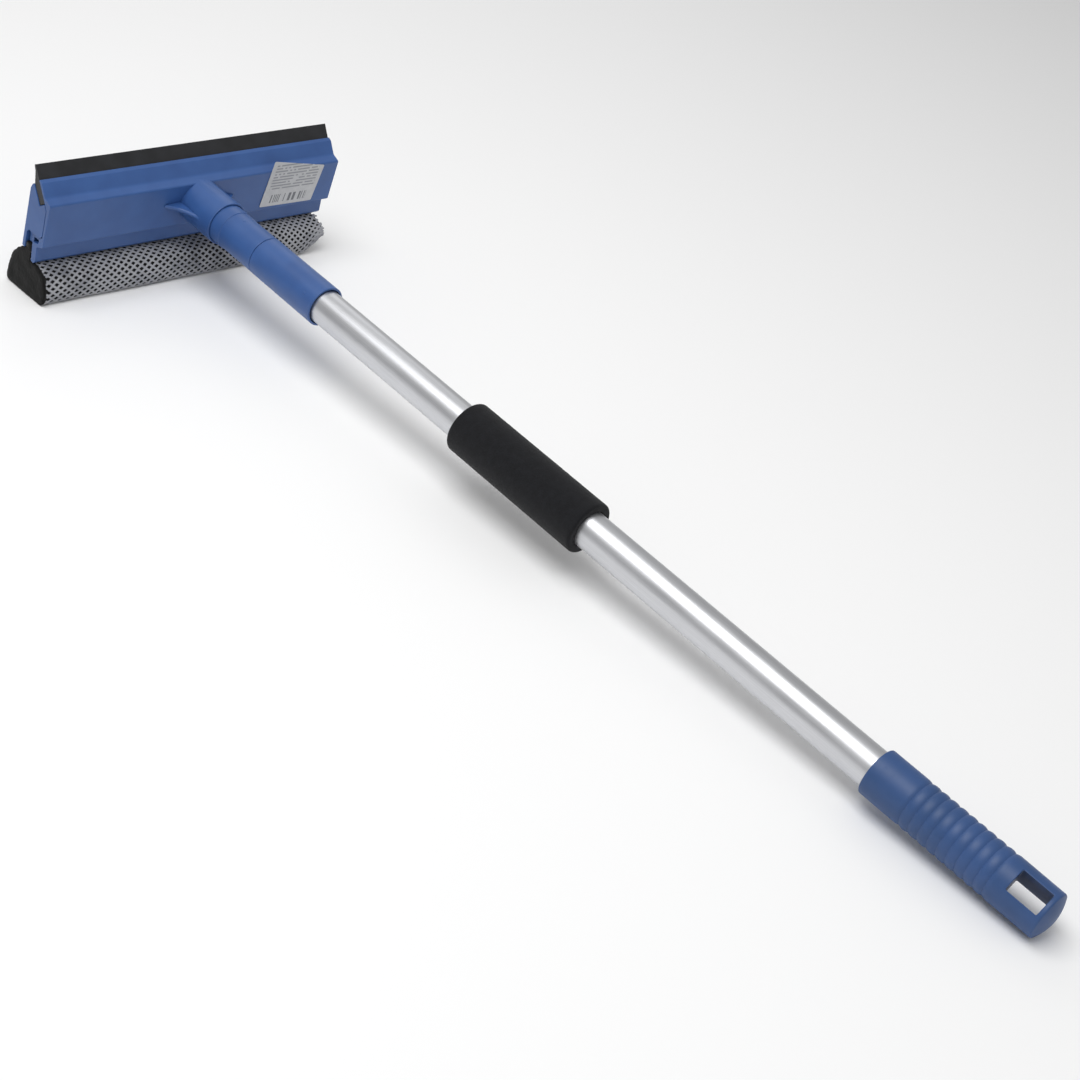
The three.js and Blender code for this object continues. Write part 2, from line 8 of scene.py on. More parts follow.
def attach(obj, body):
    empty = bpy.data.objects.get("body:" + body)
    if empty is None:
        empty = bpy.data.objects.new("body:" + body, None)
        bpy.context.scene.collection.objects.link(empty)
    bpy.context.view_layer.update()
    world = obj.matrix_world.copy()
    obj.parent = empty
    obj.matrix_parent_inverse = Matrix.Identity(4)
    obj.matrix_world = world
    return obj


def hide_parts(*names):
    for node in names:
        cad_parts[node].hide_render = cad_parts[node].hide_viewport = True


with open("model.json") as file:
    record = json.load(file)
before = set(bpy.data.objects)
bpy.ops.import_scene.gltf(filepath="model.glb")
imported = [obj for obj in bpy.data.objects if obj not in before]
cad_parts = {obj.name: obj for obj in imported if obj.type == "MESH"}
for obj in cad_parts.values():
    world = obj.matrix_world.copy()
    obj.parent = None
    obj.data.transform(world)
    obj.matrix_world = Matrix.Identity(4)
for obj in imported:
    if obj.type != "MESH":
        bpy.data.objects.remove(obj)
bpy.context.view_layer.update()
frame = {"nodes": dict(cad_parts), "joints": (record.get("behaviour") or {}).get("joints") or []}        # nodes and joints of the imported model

# The pole's own frame, in mm: x along the head, y along the pole towards the head, z across both.
# y is 0 on the front of the head's panel, and a station is a length towards the handle.
twist = next(joint for joint in frame["joints"] if joint["name"] == "twist_lock")
poleOrigin = Vector(twist["pos_m"])
alongPole = Vector(twist["axis"]).normalized()
acrossPole = Vector((1, 0, 0)).cross(alongPole)
toWorld = Matrix((
    (0.001, alongPole.x / 1000, acrossPole.x / 1000, poleOrigin.x),
    (0, alongPole.y / 1000, acrossPole.y / 1000, poleOrigin.y),
    (0, alongPole.z / 1000, acrossPole.z / 1000, poleOrigin.z),
    (0, 0, 0, 1)))
toPole = toWorld.inverted()
poleTilt = math.asin(alongPole.z)


def poleBox(node):
    # a CAD node's lowest and highest corners in the pole's frame, in mm
    points = [toPole @ vertex.co for vertex in frame["nodes"][node].data.vertices]
    low = Vector([min(point[axis] for point in points) for axis in range(3)])
    high = Vector([max(point[axis] for point in points) for axis in range(3)])
    return low, high


def linear(hexColour):
    channels = [int(hexColour[i:i + 2], 16) / 255 for i in (1, 3, 5)]
    return [c / 12.92 if c <= 0.04045 else ((c + 0.055) / 1.055) ** 2.4 for c in channels] + [1]


def setStops(elements, stops):
    # a ramp's stops, each a position with an sRGB hex colour or a grey level
    while len(elements) < len(stops):
        elements.new(0.5)
    for element, (position, colour) in zip(elements, stops):
        element.position = position
        element.color = linear(colour) if isinstance(colour, str) else (colour, colour, colour, 1)


def addNode(tree, kind, settings=None, *inputs, **links):
    # adds a node and fills its sockets in order or by name; each takes a node, an output or a plain value
    node = tree.nodes.new(kind)
    for name, value in (settings or {}).items():
        if name == "stops":
            setStops(node.color_ramp.elements, value)
        else:
            setattr(node, name, value)
    sockets = [(node.inputs[k], value) for k, value in enumerate(inputs)]
    for name, value in links.items():
        # _6 stands for input 6, because several inputs share one name
        key = int(name[1:]) if name[0] == "_" else name.replace("_", " ")
        sockets.append((node.inputs[key], value))
    for socket, value in sockets:
        source = value.outputs[0] if isinstance(value, bpy.types.Node) else value
        if isinstance(source, bpy.types.NodeSocket):
            tree.links.new(source, socket)
        else:
            socket.default_value = source
    return node


def newMaterial(name):
    # an empty material, its tree, and the object coordinates that its patterns read
    material = bpy.data.materials.new(name)
    material.use_nodes = True
    tree = material.node_tree
    tree.nodes.clear()
    return material, tree, addNode(tree, "ShaderNodeTexCoord").outputs["Object"]


def endMaterial(tree, **values):
    shader = addNode(tree, "ShaderNodeBsdfPrincipled", {}, **values)
    addNode(tree, "ShaderNodeOutputMaterial", {}, shader)


def perMetre(millimetres):
    # texture scale for a pattern of this size
    return 1000 / millimetres


polypropylene = {"colour": "#385c97", "deep": "#33558e", "ior": 1.49, "roughness": 0.4,
                 "grain": 0.45, "cloud": 22, "scuff": 6}


def mouldedPolypropylene(name, look):
    # polypropylene from a spark-eroded mould: satin, faint grain, a little uneven in shade
    material, tree, place = newMaterial(name)
    cloud = addNode(tree, "ShaderNodeTexNoise", Vector=place, Scale=perMetre(look["cloud"]), Detail=3)
    shade = addNode(tree, "ShaderNodeValToRGB", {"stops": [(0.35, look["deep"]), (0.65, look["colour"])]},
                    cloud)
    stretched = addNode(tree, "ShaderNodeMapping", Vector=place, Scale=(0.25, 1, 1))
    scuff = addNode(tree, "ShaderNodeTexNoise", Vector=stretched, Scale=perMetre(look["scuff"]), Detail=6,
                    Roughness=0.7)
    rough = look["roughness"]
    wear = addNode(tree, "ShaderNodeValToRGB",
                   {"stops": [(0.3, rough - 0.05), (0.62, rough), (0.75, rough + 0.14)]}, scuff)
    # real grain is finer, and is drawn this coarse so that it shows
    grain = addNode(tree, "ShaderNodeTexNoise", Vector=place, Scale=perMetre(look["grain"]), Detail=2)
    bump = addNode(tree, "ShaderNodeBump", Strength=0.16, Distance=0.0001, Height=grain)
    endMaterial(tree, Base_Color=shade, Roughness=wear, Normal=bump, IOR=look["ior"])
    return material


rubber = {"colour": "#16171a", "worn": "#202125", "ior": 1.52, "roughness": 0.5, "line": 0.6, "bloom": 9}


def extrudedRubber():
    # black vulcanised rubber: soft gloss, with die lines along its length, wider apart than real ones
    material, tree, place = newMaterial("extrudedRubber")
    stretched = addNode(tree, "ShaderNodeMapping", Vector=place, Scale=(0.02, 1, 1))
    line = addNode(tree, "ShaderNodeTexNoise", Vector=stretched, Scale=perMetre(rubber["line"]), Detail=2)
    bloom = addNode(tree, "ShaderNodeTexNoise", Vector=place, Scale=perMetre(rubber["bloom"]), Detail=5)
    shade = addNode(tree, "ShaderNodeValToRGB", {"stops": [(0.4, rubber["colour"]), (0.72, rubber["worn"])]},
                    bloom)
    rough = rubber["roughness"]
    wear = addNode(tree, "ShaderNodeValToRGB", {"stops": [(0.35, rough - 0.08), (0.7, rough + 0.1)]}, bloom)
    bump = addNode(tree, "ShaderNodeBump", Strength=0.2, Distance=0.0001, Height=line)
    endMaterial(tree, Base_Color=shade, Roughness=wear, Normal=bump, IOR=rubber["ior"])
    return material


# the darker pit colour of each foam is painted shade in the hollows of its cut cells
padFoam = {"colour": "#131313", "pitShadeColour": "#060606", "cell": 0.9, "roughness": 0.95}
sleeveFoam = {"colour": "#18191d", "pitShadeColour": "#0b0b0e", "cell": 0.55, "roughness": 0.88}


def cellFoam(name, look):
    # open-cell foam cut with a wire: matt, with painted shade darkening the pits where the cells are cut
    # through
    material, tree, place = newMaterial(name)
    cell = addNode(tree, "ShaderNodeTexVoronoi", Vector=place, Scale=perMetre(look["cell"]), Randomness=1)
    depth = cell.outputs["Distance"]
    # painted shade: the darker stop darkens the hollows of the cut cells
    paintedPitShade = addNode(tree, "ShaderNodeValToRGB", {"stops": [(0.12, look["pitShadeColour"]), (0.5, look["colour"])]}, depth)
    mottle = addNode(tree, "ShaderNodeTexNoise", Vector=place, Scale=perMetre(4), Detail=4)
    patches = addNode(tree, "ShaderNodeValToRGB", {"stops": [(0.3, 0.62), (0.7, 1.0)]}, mottle)
    shade = addNode(tree, "ShaderNodeMix", {"data_type": "RGBA", "blend_type": "MULTIPLY"},
                    Factor=1.0, _6=paintedPitShade, _7=patches)
    bump = addNode(tree, "ShaderNodeBump", Strength=0.55, Distance=0.0003, Height=depth)
    endMaterial(tree, Base_Color=shade.outputs[2], Roughness=look["roughness"], Normal=bump,
                Specular_IOR_Level=0.25, Sheen_Weight=0.08)
    return material


yarn = {"colour": "#a9aaaf", "shadow": "#7c7e85", "fibre": 0.28, "soil": 14, "roughness": 0.75}


def texturedPolyester():
    # textured polyester yarn: pale grey, soft highlights, fibres drawn coarser than real ones
    material, tree, place = newMaterial("texturedPolyester")
    fibre = addNode(tree, "ShaderNodeTexNoise", Vector=place, Scale=perMetre(yarn["fibre"]), Detail=3)
    soil = addNode(tree, "ShaderNodeTexNoise", Vector=place, Scale=perMetre(yarn["soil"]), Detail=3)
    mixed = addNode(tree, "ShaderNodeMath", {"operation": "MULTIPLY_ADD"}, fibre, 0.6, soil)
    shade = addNode(tree, "ShaderNodeValToRGB", {"stops": [(0.55, yarn["shadow"]), (0.85, yarn["colour"])]},
                    mixed)
    bump = addNode(tree, "ShaderNodeBump", Strength=0.5, Distance=0.00015, Height=fibre)
    endMaterial(tree, Base_Color=shade, Roughness=yarn["roughness"], Normal=bump, Sheen_Weight=0.2)
    return material


aluminium = {"colour": "#d4d5d8", "dull": "#c8c9cc", "roughness": 0.36, "line": 0.35, "haze": 35}


def drawnAluminium():
    # drawn tube, etched and clear anodised: silvery satin with hairlines along the pole, drawn coarse
    material, tree, place = newMaterial("drawnAluminium")
    level = addNode(tree, "ShaderNodeMapping", Vector=place, Rotation=(-poleTilt, 0, 0))
    stretched = addNode(tree, "ShaderNodeMapping", Vector=level, Scale=(1, 0.006, 1))
    hairline = addNode(tree, "ShaderNodeTexNoise", Vector=stretched, Scale=perMetre(aluminium["line"]),
                       Detail=4, Roughness=0.6)
    shade = addNode(tree, "ShaderNodeValToRGB",
                    {"stops": [(0.3, aluminium["dull"]), (0.6, aluminium["colour"])]}, hairline)
    haze = addNode(tree, "ShaderNodeTexNoise", Vector=level, Scale=perMetre(aluminium["haze"]), Detail=4)
    mixed = addNode(tree, "ShaderNodeMath", {"operation": "MULTIPLY_ADD"}, hairline, 0.4, haze)
    rough = aluminium["roughness"]
    wear = addNode(tree, "ShaderNodeValToRGB", {"stops": [(0.4, rough - 0.04), (1.0, rough + 0.1)]}, mixed)
    bump = addNode(tree, "ShaderNodeBump", Strength=0.08, Distance=0.00005, Height=hairline)
    endMaterial(tree, Base_Color=shade, Roughness=wear, Normal=bump, Metallic=1)
    return material


def zincPlate():
    # bright zinc on steel: bluish silver, faintly mottled
    material, tree, place = newMaterial("zincPlate")
    spangle = addNode(tree, "ShaderNodeTexNoise", Vector=place, Scale=perMetre(1.2), Detail=4)
    shade = addNode(tree, "ShaderNodeValToRGB", {"stops": [(0.3, "#a9acb2"), (0.7, "#c9ccd0")]}, spangle)
    wear = addNode(tree, "ShaderNodeValToRGB", {"stops": [(0.3, 0.26), (0.7, 0.42)]}, spangle)
    endMaterial(tree, Base_Color=shade, Roughness=wear, Metallic=1)
    return material


def mouldedNylon():
    # natural grey nylon: waxy, with a faint cloud in it
    material, tree, place = newMaterial("mouldedNylon")
    cloud = addNode(tree, "ShaderNodeTexNoise", Vector=place, Scale=perMetre(5), Detail=3)
    shade = addNode(tree, "ShaderNodeValToRGB", {"stops": [(0.3, "#85888d"), (0.7, "#989ba0")]}, cloud)
    wear = addNode(tree, "ShaderNodeValToRGB", {"stops": [(0.3, 0.4), (0.7, 0.55)]}, cloud)
    endMaterial(tree, Base_Color=shade, Roughness=wear, IOR=1.53)
    return material


# The label's print, in shares of its width and height
labelPrint = {"paper": "#c2c3c5", "shade": "#b8b9bc", "ink": "#8f9196", "bar": "#6d6f75",
              "rows": 9, "rowFoot": 0.36, "rowTop": 0.93, "left": 0.07, "right": 0.93, "dashes": 26.0,
              "bars": 60.0, "barFoot": 0.07, "barTop": 0.25, "barLeft": 0.16, "barRight": 0.84}


def narrowed(tree, mask, *spans):
    # a mask kept only where each value lies between its two limits
    for value, low, high in spans:
        above = addNode(tree, "ShaderNodeMath", {"operation": "GREATER_THAN"}, value, low)
        below = addNode(tree, "ShaderNodeMath", {"operation": "LESS_THAN"}, value, high)
        for limit in (above, below):
            mask = addNode(tree, "ShaderNodeMath", {"operation": "MULTIPLY"}, mask, limit)
    return mask


def printedPaper():
    # matt coated paper with rows of plain dashes and a comb of plain bars, none of them lettering
    material, tree, place = newMaterial("printedPaper")
    look = labelPrint
    split = addNode(tree, "ShaderNodeSeparateXYZ", {}, addNode(tree, "ShaderNodeUVMap", {"uv_map": "label"}))
    across, up = split.outputs[0], split.outputs[1]

    raised = addNode(tree, "ShaderNodeMath", {"operation": "SUBTRACT"}, up, look["rowFoot"])
    rowPitch = (look["rowTop"] - look["rowFoot"]) / look["rows"]
    row = addNode(tree, "ShaderNodeMath", {"operation": "DIVIDE"}, raised, rowPitch)
    inRow = addNode(tree, "ShaderNodeMath", {"operation": "FRACT"}, row)
    rowNumber = addNode(tree, "ShaderNodeMath", {"operation": "FLOOR"}, row)
    dashPlace = addNode(tree, "ShaderNodeMath", {"operation": "MULTIPLY"}, across, look["dashes"])
    dashCell = addNode(tree, "ShaderNodeVectorMath", {"operation": "FLOOR"},
                       addNode(tree, "ShaderNodeCombineXYZ", {}, dashPlace, rowNumber))
    dash = addNode(tree, "ShaderNodeTexWhiteNoise", {"noise_dimensions": "2D"}, Vector=dashCell)
    printed = addNode(tree, "ShaderNodeMath", {"operation": "GREATER_THAN"}, dash, 0.2)
    words = narrowed(tree, printed, (inRow, 0.25, 0.72), (across, look["left"], look["right"]),
                     (up, look["rowFoot"], look["rowTop"]))

    barPlace = addNode(tree, "ShaderNodeMath", {"operation": "MULTIPLY"}, across, look["bars"])
    comb = addNode(tree, "ShaderNodeTexWhiteNoise", {"noise_dimensions": "1D"},
                   W=addNode(tree, "ShaderNodeMath", {"operation": "FLOOR"}, barPlace))
    bar = addNode(tree, "ShaderNodeMath", {"operation": "GREATER_THAN"}, comb, 0.48)
    bars = narrowed(tree, bar, (up, look["barFoot"], look["barTop"]),
                    (across, look["barLeft"], look["barRight"]))

    fleck = addNode(tree, "ShaderNodeTexNoise", Vector=place, Scale=perMetre(3), Detail=3)
    paper = addNode(tree, "ShaderNodeValToRGB", {"stops": [(0.3, look["shade"]), (0.7, look["paper"])]},
                    fleck)
    inked = addNode(tree, "ShaderNodeMix", {"data_type": "RGBA"}, Factor=words, _6=paper,
                    _7=linear(look["ink"]))
    barred = addNode(tree, "ShaderNodeMix", {"data_type": "RGBA"}, Factor=bars, _6=inked.outputs[2],
                     _7=linear(look["bar"]))
    endMaterial(tree, Base_Color=barred.outputs[2], Roughness=0.55)
    return material


bluePlastic = mouldedPolypropylene("mouldedPolypropylene", polypropylene)
gripPlastic = mouldedPolypropylene("mouldedGripPlastic", dict(
    polypropylene, colour="#305083", deep="#2b4a79", roughness=0.5, grain=0.6))
blackRubber = extrudedRubber()
padCell = cellFoam("cutPolyetherFoam", padFoam)
sleeveCell = cellFoam("nitrileFoam", sleeveFoam)
netYarn = texturedPolyester()
tubeMetal = drawnAluminium()
screwMetal = zincPlate()
nylon = mouldedNylon()
labelPaper = printedPaper()
print("materials made")


# Shaping helpers work in the pole's frame, in mm.

def rounded(points, steps=4, closed=True):
    # points are (a, b) or (a, b, radius); each radius becomes an arc of this many steps
    outline = []
    count = len(points)
    for i, point in enumerate(points):
        corner = Vector(point[:2])
        radius = point[2] if len(point) > 2 else 0
        if radius <= 0 or (not closed and i in (0, count - 1)):
            outline.append(corner)
            continue
        before = Vector(points[(i - 1) % count][:2]) - corner
        after = Vector(points[(i + 1) % count][:2]) - corner
        half = before.angle(after) / 2
        reach = min(radius / math.tan(half), 0.48 * before.length, 0.48 * after.length)
        radius = reach * math.tan(half)
        bisector = (before.normalized() + after.normalized()).normalized()
        centre = corner + bisector * (radius / math.sin(half))
        start = corner + before.normalized() * reach - centre
        turn = start.angle_signed(corner + after.normalized() * reach - centre)
        for k in range(steps + 1):
            angle = -turn * k / steps
            spin = Matrix.Rotation(angle, 2)
            outline.append(centre + spin @ start)
    return outline


def offsetOutline(outline, distance, closed=True):
    # moves an anticlockwise outline outwards
    moved = []
    count = len(outline)
    for i, point in enumerate(outline):
        before = outline[(i - 1) % count] if closed or i else None
        after = outline[(i + 1) % count] if closed or i < count - 1 else None
        first = (point - before).normalized() if before is not None else (after - point).normalized()
        second = (after - point).normalized() if after is not None else first
        normal = Vector((first.y + second.y, -first.x - second.x)).normalized()
        spread = max(normal.dot(Vector((first.y, -first.x))), 0.5)
        moved.append(point + normal * (distance / spread))
    return moved


def latheMesh(profile, segments=128, closed=False):
    # turns (radius, station) points about the pole; an open profile starts and ends on the axis
    mesh = bmesh.new()
    rings = []
    for radius, station in profile:
        if radius < 1e-6:
            rings.append([mesh.verts.new((0, -station, 0))])
            continue
        ring = []
        for k in range(segments):
            angle = 2 * math.pi * k / segments
            ring.append(mesh.verts.new((radius * math.sin(angle), -station, radius * math.cos(angle))))
        rings.append(ring)
    pairs = list(zip(rings, rings[1:])) + ([(rings[-1], rings[0])] if closed else [])
    for one, two in pairs:
        for k in range(segments):
            n = (k + 1) % segments
            corners = [one[k % len(one)], one[n % len(one)], two[n % len(two)], two[k % len(two)]]
            distinct = list(dict.fromkeys(corners))
            if len(distinct) > 2:
                mesh.faces.new(distinct)
    bmesh.ops.recalc_face_normals(mesh, faces=mesh.faces)
    return mesh


def barMesh(section, left, right, edge=0.2, steps=3):
    # a bar along x with a closed (y, z) outline, its two end edges rounded
    mesh = bmesh.new()
    stations = []
    for k in range(steps + 1):
        angle = math.pi / 2 * k / steps
        stations.append((edge * (1 - math.sin(angle)), edge * (1 - math.cos(angle))))
    stations = [(left + along, -inset) for inset, along in stations]
    stations += [(left + right - x, inset) for x, inset in reversed(stations)]
    rings = []
    for x, inset in stations:
        outline = offsetOutline(section, inset)
        rings.append([mesh.verts.new((x, point.x, point.y)) for point in outline])
    for one, two in zip(rings, rings[1:]):
        for k in range(len(one)):
            n = (k + 1) % len(one)
            mesh.faces.new((one[k], one[n], two[n], two[k]))
    mesh.faces.new(rings[0])
    mesh.faces.new(list(reversed(rings[-1])))
    bmesh.ops.recalc_face_normals(mesh, faces=mesh.faces)
    return mesh


def asObject(name, mesh):
    # a linked object from bmesh work, which is used up, or from a finished mesh
    data = mesh
    if isinstance(mesh, bmesh.types.BMesh):
        data = bpy.data.meshes.new(name)
        mesh.to_mesh(data)
        mesh.free()
    piece = bpy.data.objects.new(name, data)
    bpy.context.collection.objects.link(piece)
    return piece


def evaluated(piece):
    # the piece's mesh with its modifiers worked in; the piece itself is removed
    bpy.context.view_layer.update()
    graph = bpy.context.evaluated_depsgraph_get()
    mesh = bpy.data.meshes.new_from_object(piece.evaluated_get(graph), depsgraph=graph)
    bpy.data.objects.remove(piece)
    return mesh


def cutOrJoin(base, operation, *tools):
    # exact boolean of one object with others, which are used up
    for tool in tools:
        modifier = base.modifiers.new(operation, "BOOLEAN")
        modifier.operation = operation
        modifier.solver = "EXACT"
        modifier.object = tool
    mesh = evaluated(base)
    for tool in tools:
        bpy.data.objects.remove(tool)
    return mesh


weldDistance = 3e-6      # in metres: points closer than this are one


def finishPiece(name, mesh, finish, body, nodes, crease=32, weighted=True):
    # moves the mesh into the part's frame, closes and smooths it, and hands it to its body
    piece = asObject(name, mesh)
    data = piece.data
    data.transform(toWorld)
    whole = bmesh.new()
    whole.from_mesh(data)
    bmesh.ops.remove_doubles(whole, verts=whole.verts, dist=weldDistance)
    bmesh.ops.dissolve_degenerate(whole, edges=whole.edges, dist=weldDistance)
    if whole.calc_volume(signed=True) < 0:
        bmesh.ops.reverse_faces(whole, faces=whole.faces)
    whole.to_mesh(data)
    whole.free()
    data.materials.clear()
    data.materials.append(finish)
    data.shade_smooth()
    data.set_sharp_from_angle(angle=math.radians(crease))
    if weighted:
        modifier = piece.modifiers.new("evenShading", "WEIGHTED_NORMAL")
        modifier.keep_sharp = True
    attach(piece, body)
    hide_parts(*nodes)
    return piece


# Head: two long mouldings with the blade between them
head = {
    "lip": (14.8, 23.7), "lean": math.radians(37.4), "slot": 15.2, "slotRear": 5.8,
    "panelTop": 13.4, "panelFoot": (1.5, -15.8), "depth": 21, "hook": (11.6, -17), "roof": -11.6,
    "bossRadius": 14.5, "bossEnd": 28.6, "rimWall": 1, "rimDepth": 4.4, "spigotWall": 2.1, "taper": 0.7,
    "finReach": 27, "finDepth": 20.5, "finThickness": 2.6, "screwHeight": -1.5, "well": 3.4, "seat": 11,
}
headLow, headHigh = poleBox("front_shell")


def bladePoint(along, behind):
    # a point of the head's section, along the blade's lean and behind its front face
    across, up = math.sin(head["lean"]), math.cos(head["lean"])
    lipY, lipZ = head["lip"]
    return (lipY + along * across + behind * up, lipZ + along * up - behind * across)


def frontSection():
    hookY, hookZ = head["hook"]
    roof = head["roof"]
    return rounded([
        (*bladePoint(0, -0.3), 0.3), (11.3, 22.6, 1.2), (5.9, 15.3, 3.2), (0, head["panelTop"], 1.5),
        (*head["panelFoot"], 0.8), (6.9, -18.2, 0.6), (6.4, -28, 1), (8.2, -30, 1), (10.5, -29.6, 0.6),
        (hookY, hookZ, 0.3), (5.8, hookZ + 1.6, 0.4), (5.8, roof - 0.6, 0.4), (3, roof + 2.2, 0.4),
        (3, 8.6, 0.4), (*bladePoint(-head["slot"], -0.3), 0.4)], steps=5)


def boss():
    # socket that the coupling plugs into, with a thin rim round its mouth
    radius, end = head["bossRadius"], head["bossEnd"]
    mouth = radius - head["spigotWall"]
    bore = radius - head["rimWall"]
    profile = rounded([
        (0, -2.8), (radius, -2.8), (radius, end, 0.45), (bore, end, 0.3), (bore, end - head["rimDepth"], 0.2),
        (mouth, end - head["rimDepth"], 0.2), (mouth - head["taper"], 0.4, 0.5), (0, 0.4)],
        steps=4, closed=False)
    return latheMesh(profile, 144)


def fin(side):
    # curved gusset between the panel and the side of the boss, its free edge rounded
    mesh = bmesh.new()
    radius, depth, half = head["bossRadius"], head["finDepth"], head["finThickness"] / 2
    start, end = Vector((head["finReach"], -0.2)), Vector((radius - 0.3, depth))
    pull = [start, Vector((radius + 6, 5)), Vector((radius + 2, 9)), end]
    steps = 24
    rings = []
    for k in range(steps + 1):
        t = k / steps
        weights = ((1 - t) ** 3, 3 * t * (1 - t) ** 2, 3 * t * t * (1 - t), t ** 3)
        edge = sum((point * weight for point, weight in zip(pull, weights)), Vector((0, 0)))
        inner = Vector((radius - 1.5, max(min(edge.y - 1.5, depth), -1)))
        towards = (edge - inner).normalized()
        ring = [(inner, half)]
        for j in range(7):
            angle = math.pi * j / 6
            ring.append((edge - towards * half * (1 - math.sin(angle)), half * math.cos(angle)))
        ring.append((inner, -half))
        rings.append([mesh.verts.new((side * point.x, -point.y, z)) for point, z in ring])
    for one, two in zip(rings, rings[1:]):
        for j in range(len(one)):
            n = (j + 1) % len(one)
            mesh.faces.new((one[j], one[n], two[n], two[j]))
    mesh.faces.new(rings[0])
    mesh.faces.new(list(reversed(rings[-1])))
    bmesh.ops.recalc_face_normals(mesh, faces=mesh.faces)
    return mesh


def makeFrontShell():
    bar = asObject("bar", barMesh(frontSection(), headLow.x, headHigh.x))
    tools = [asObject("boss", boss()), asObject("finLeft", fin(-1)), asObject("finRight", fin(1))]
    mesh = cutOrJoin(bar, "UNION", *tools)
    finishPiece("front_moulding", mesh, bluePlastic, "head", ["front_shell"])


# Screws that hold the two mouldings together, in wells in the rear one
screw = {"head": 3, "height": 1.9, "shank": 1.15, "recess": 3.4, "recessWidth": 0.75, "recessDepth": 1.2}
screwNodes = ["shell_screw_1", "shell_screw_2", "shell_screw_3", "shell_screw_4"]
screwPlaces = [(poleBox(node)[0].x + poleBox(node)[1].x) / 2 for node in screwNodes]


def makeRearShell():
    depth, roof = head["depth"], head["roof"]
    section = rounded([
        (3.4, 8.4, 0.3), (3.4, roof + 2.6, 0.3), (6, roof, 0.3), (depth - 4.4, roof, 0.5),
        (depth - 2.6, roof - 2, 0.4), (depth - 2.6, -24.6, 0.5), (depth, -24.6, 0.8), (depth, 14.8, 1.8),
        (depth - 1.5, 18.1, 0.7), (*bladePoint(-2, head["slotRear"]), 0.3),
        (*bladePoint(-head["slot"], head["slotRear"]), 0.4), (*bladePoint(-head["slot"], 0.3), 0.4)], steps=5)
    bar = asObject("bar", barMesh(section, headLow.x, headHigh.x))
    wells = []
    for x in screwPlaces:
        profile = rounded([(0, -head["seat"]), (head["well"], -head["seat"], 0.3),
                           (head["well"], -depth + 0.5, 0.6), (head["well"] + 0.6, -depth - 0.05),
                           (head["well"] + 0.6, -depth - 2), (0, -depth - 2)], steps=4, closed=False)
        well = latheMesh(profile, 48)
        bmesh.ops.translate(well, verts=well.verts, vec=(x, 0, head["screwHeight"]))
        wells.append(asObject("well", well))
    mesh = cutOrJoin(bar, "DIFFERENCE", *wells)
    finishPiece("rear_moulding", mesh, bluePlastic, "head", ["rear_shell"])


blade = {"reach": 8.6, "root": 14.7, "thickness": 5.4, "tip": 1.3, "inset": 0.4}


def makeBlade():
    section = rounded([
        (*bladePoint(blade["reach"], 0), 0.08), (*bladePoint(-blade["root"], 0), 1),
        (*bladePoint(-blade["root"], blade["thickness"]), 1),
        (*bladePoint(-1.8, blade["thickness"]), 0.6),
        (*bladePoint(blade["reach"] - 3.4, blade["tip"] + 0.6), 2),
        (*bladePoint(blade["reach"], blade["tip"]), 0.08)], steps=5)
    mesh = barMesh(section, headLow.x + blade["inset"], headHigh.x - blade["inset"], edge=0.06)
    finishPiece("blade_rubber", mesh, blackRubber, "head", ["rubber_blade"])


def screwMesh():
    low, high = poleBox(screwNodes[0])
    top, tip = -high.y, -low.y
    seat = top + screw["height"]
    profile = rounded([(0, top), (screw["head"] * 0.6, top, 1.6), (screw["head"], seat - 0.5, 0.8),
                       (screw["head"] - 0.05, seat, 0.1), (screw["shank"], seat, 0.2),
                       (screw["shank"], tip - 1.6, 0.3), (0.25, tip), (0, tip)], steps=5, closed=False)
    body = asObject("screwBody", latheMesh(profile, 48))
    arms = []
    for turn in (0, math.pi / 2):
        arm = bmesh.new()
        bmesh.ops.create_cube(arm, size=1)
        size = (screw["recess"], 2 * screw["recessDepth"], screw["recessWidth"])
        bmesh.ops.scale(arm, verts=arm.verts, vec=size)
        bmesh.ops.rotate(arm, verts=arm.verts, matrix=Matrix.Rotation(turn + 0.4, 3, "Y"))
        bmesh.ops.translate(arm, verts=arm.verts, vec=(0, -top, 0))
        arms.append(asObject("arm", arm))
    return cutOrJoin(body, "DIFFERENCE", *arms)


def newTree(name, inputs):
    # a geometry node group with named inputs, and the outputs that give them inside it
    tree = bpy.data.node_groups.new(name, "GeometryNodeTree")
    tree.interface.new_socket("Geometry", in_out="INPUT", socket_type="NodeSocketGeometry")
    tree.interface.new_socket("Geometry", in_out="OUTPUT", socket_type="NodeSocketGeometry")
    for label, kind in inputs.items():
        tree.interface.new_socket(label, in_out="INPUT", socket_type=kind)
    return tree, addNode(tree, "NodeGroupInput").outputs


def endTree(tree, geometry, material):
    whole = addNode(tree, "GeometryNodeRealizeInstances", Geometry=geometry)
    coloured = addNode(tree, "GeometryNodeSetMaterial", Geometry=whole, Material=material)
    addNode(tree, "NodeGroupOutput", {}, coloured)


def grow(base, tree, values):
    # runs a tree on an object, with its inputs set by identifier, and returns the plain mesh
    modifier = base.modifiers.new(tree.name, "NODES")
    modifier.node_group = tree
    for item in tree.interface.items_tree:
        if item.item_type == "SOCKET" and item.in_out == "INPUT" and item.name in values:
            modifier[item.identifier] = values[item.name]
    return evaluated(base)


def makeScrews():
    tree, given = newTree("rowOfScrews", {"Screw": "NodeSocketObject", "Finish": "NodeSocketMaterial"})
    part = addNode(tree, "GeometryNodeObjectInfo", {}, given["Screw"])
    placed = addNode(tree, "GeometryNodeInstanceOnPoints", Points=given["Geometry"],
                     Instance=part.outputs["Geometry"])
    endTree(tree, placed, given["Finish"])
    points = bpy.data.meshes.new("screwPoints")
    points.from_pydata([(x, 0, head["screwHeight"]) for x in screwPlaces], [], [])
    one = asObject("oneScrew", screwMesh())
    mesh = grow(asObject("screwRow", points), tree, {"Screw": one, "Finish": screwMetal})
    bpy.data.objects.remove(one)
    finishPiece("shell_screws", mesh, screwMetal, "head", screwNodes)


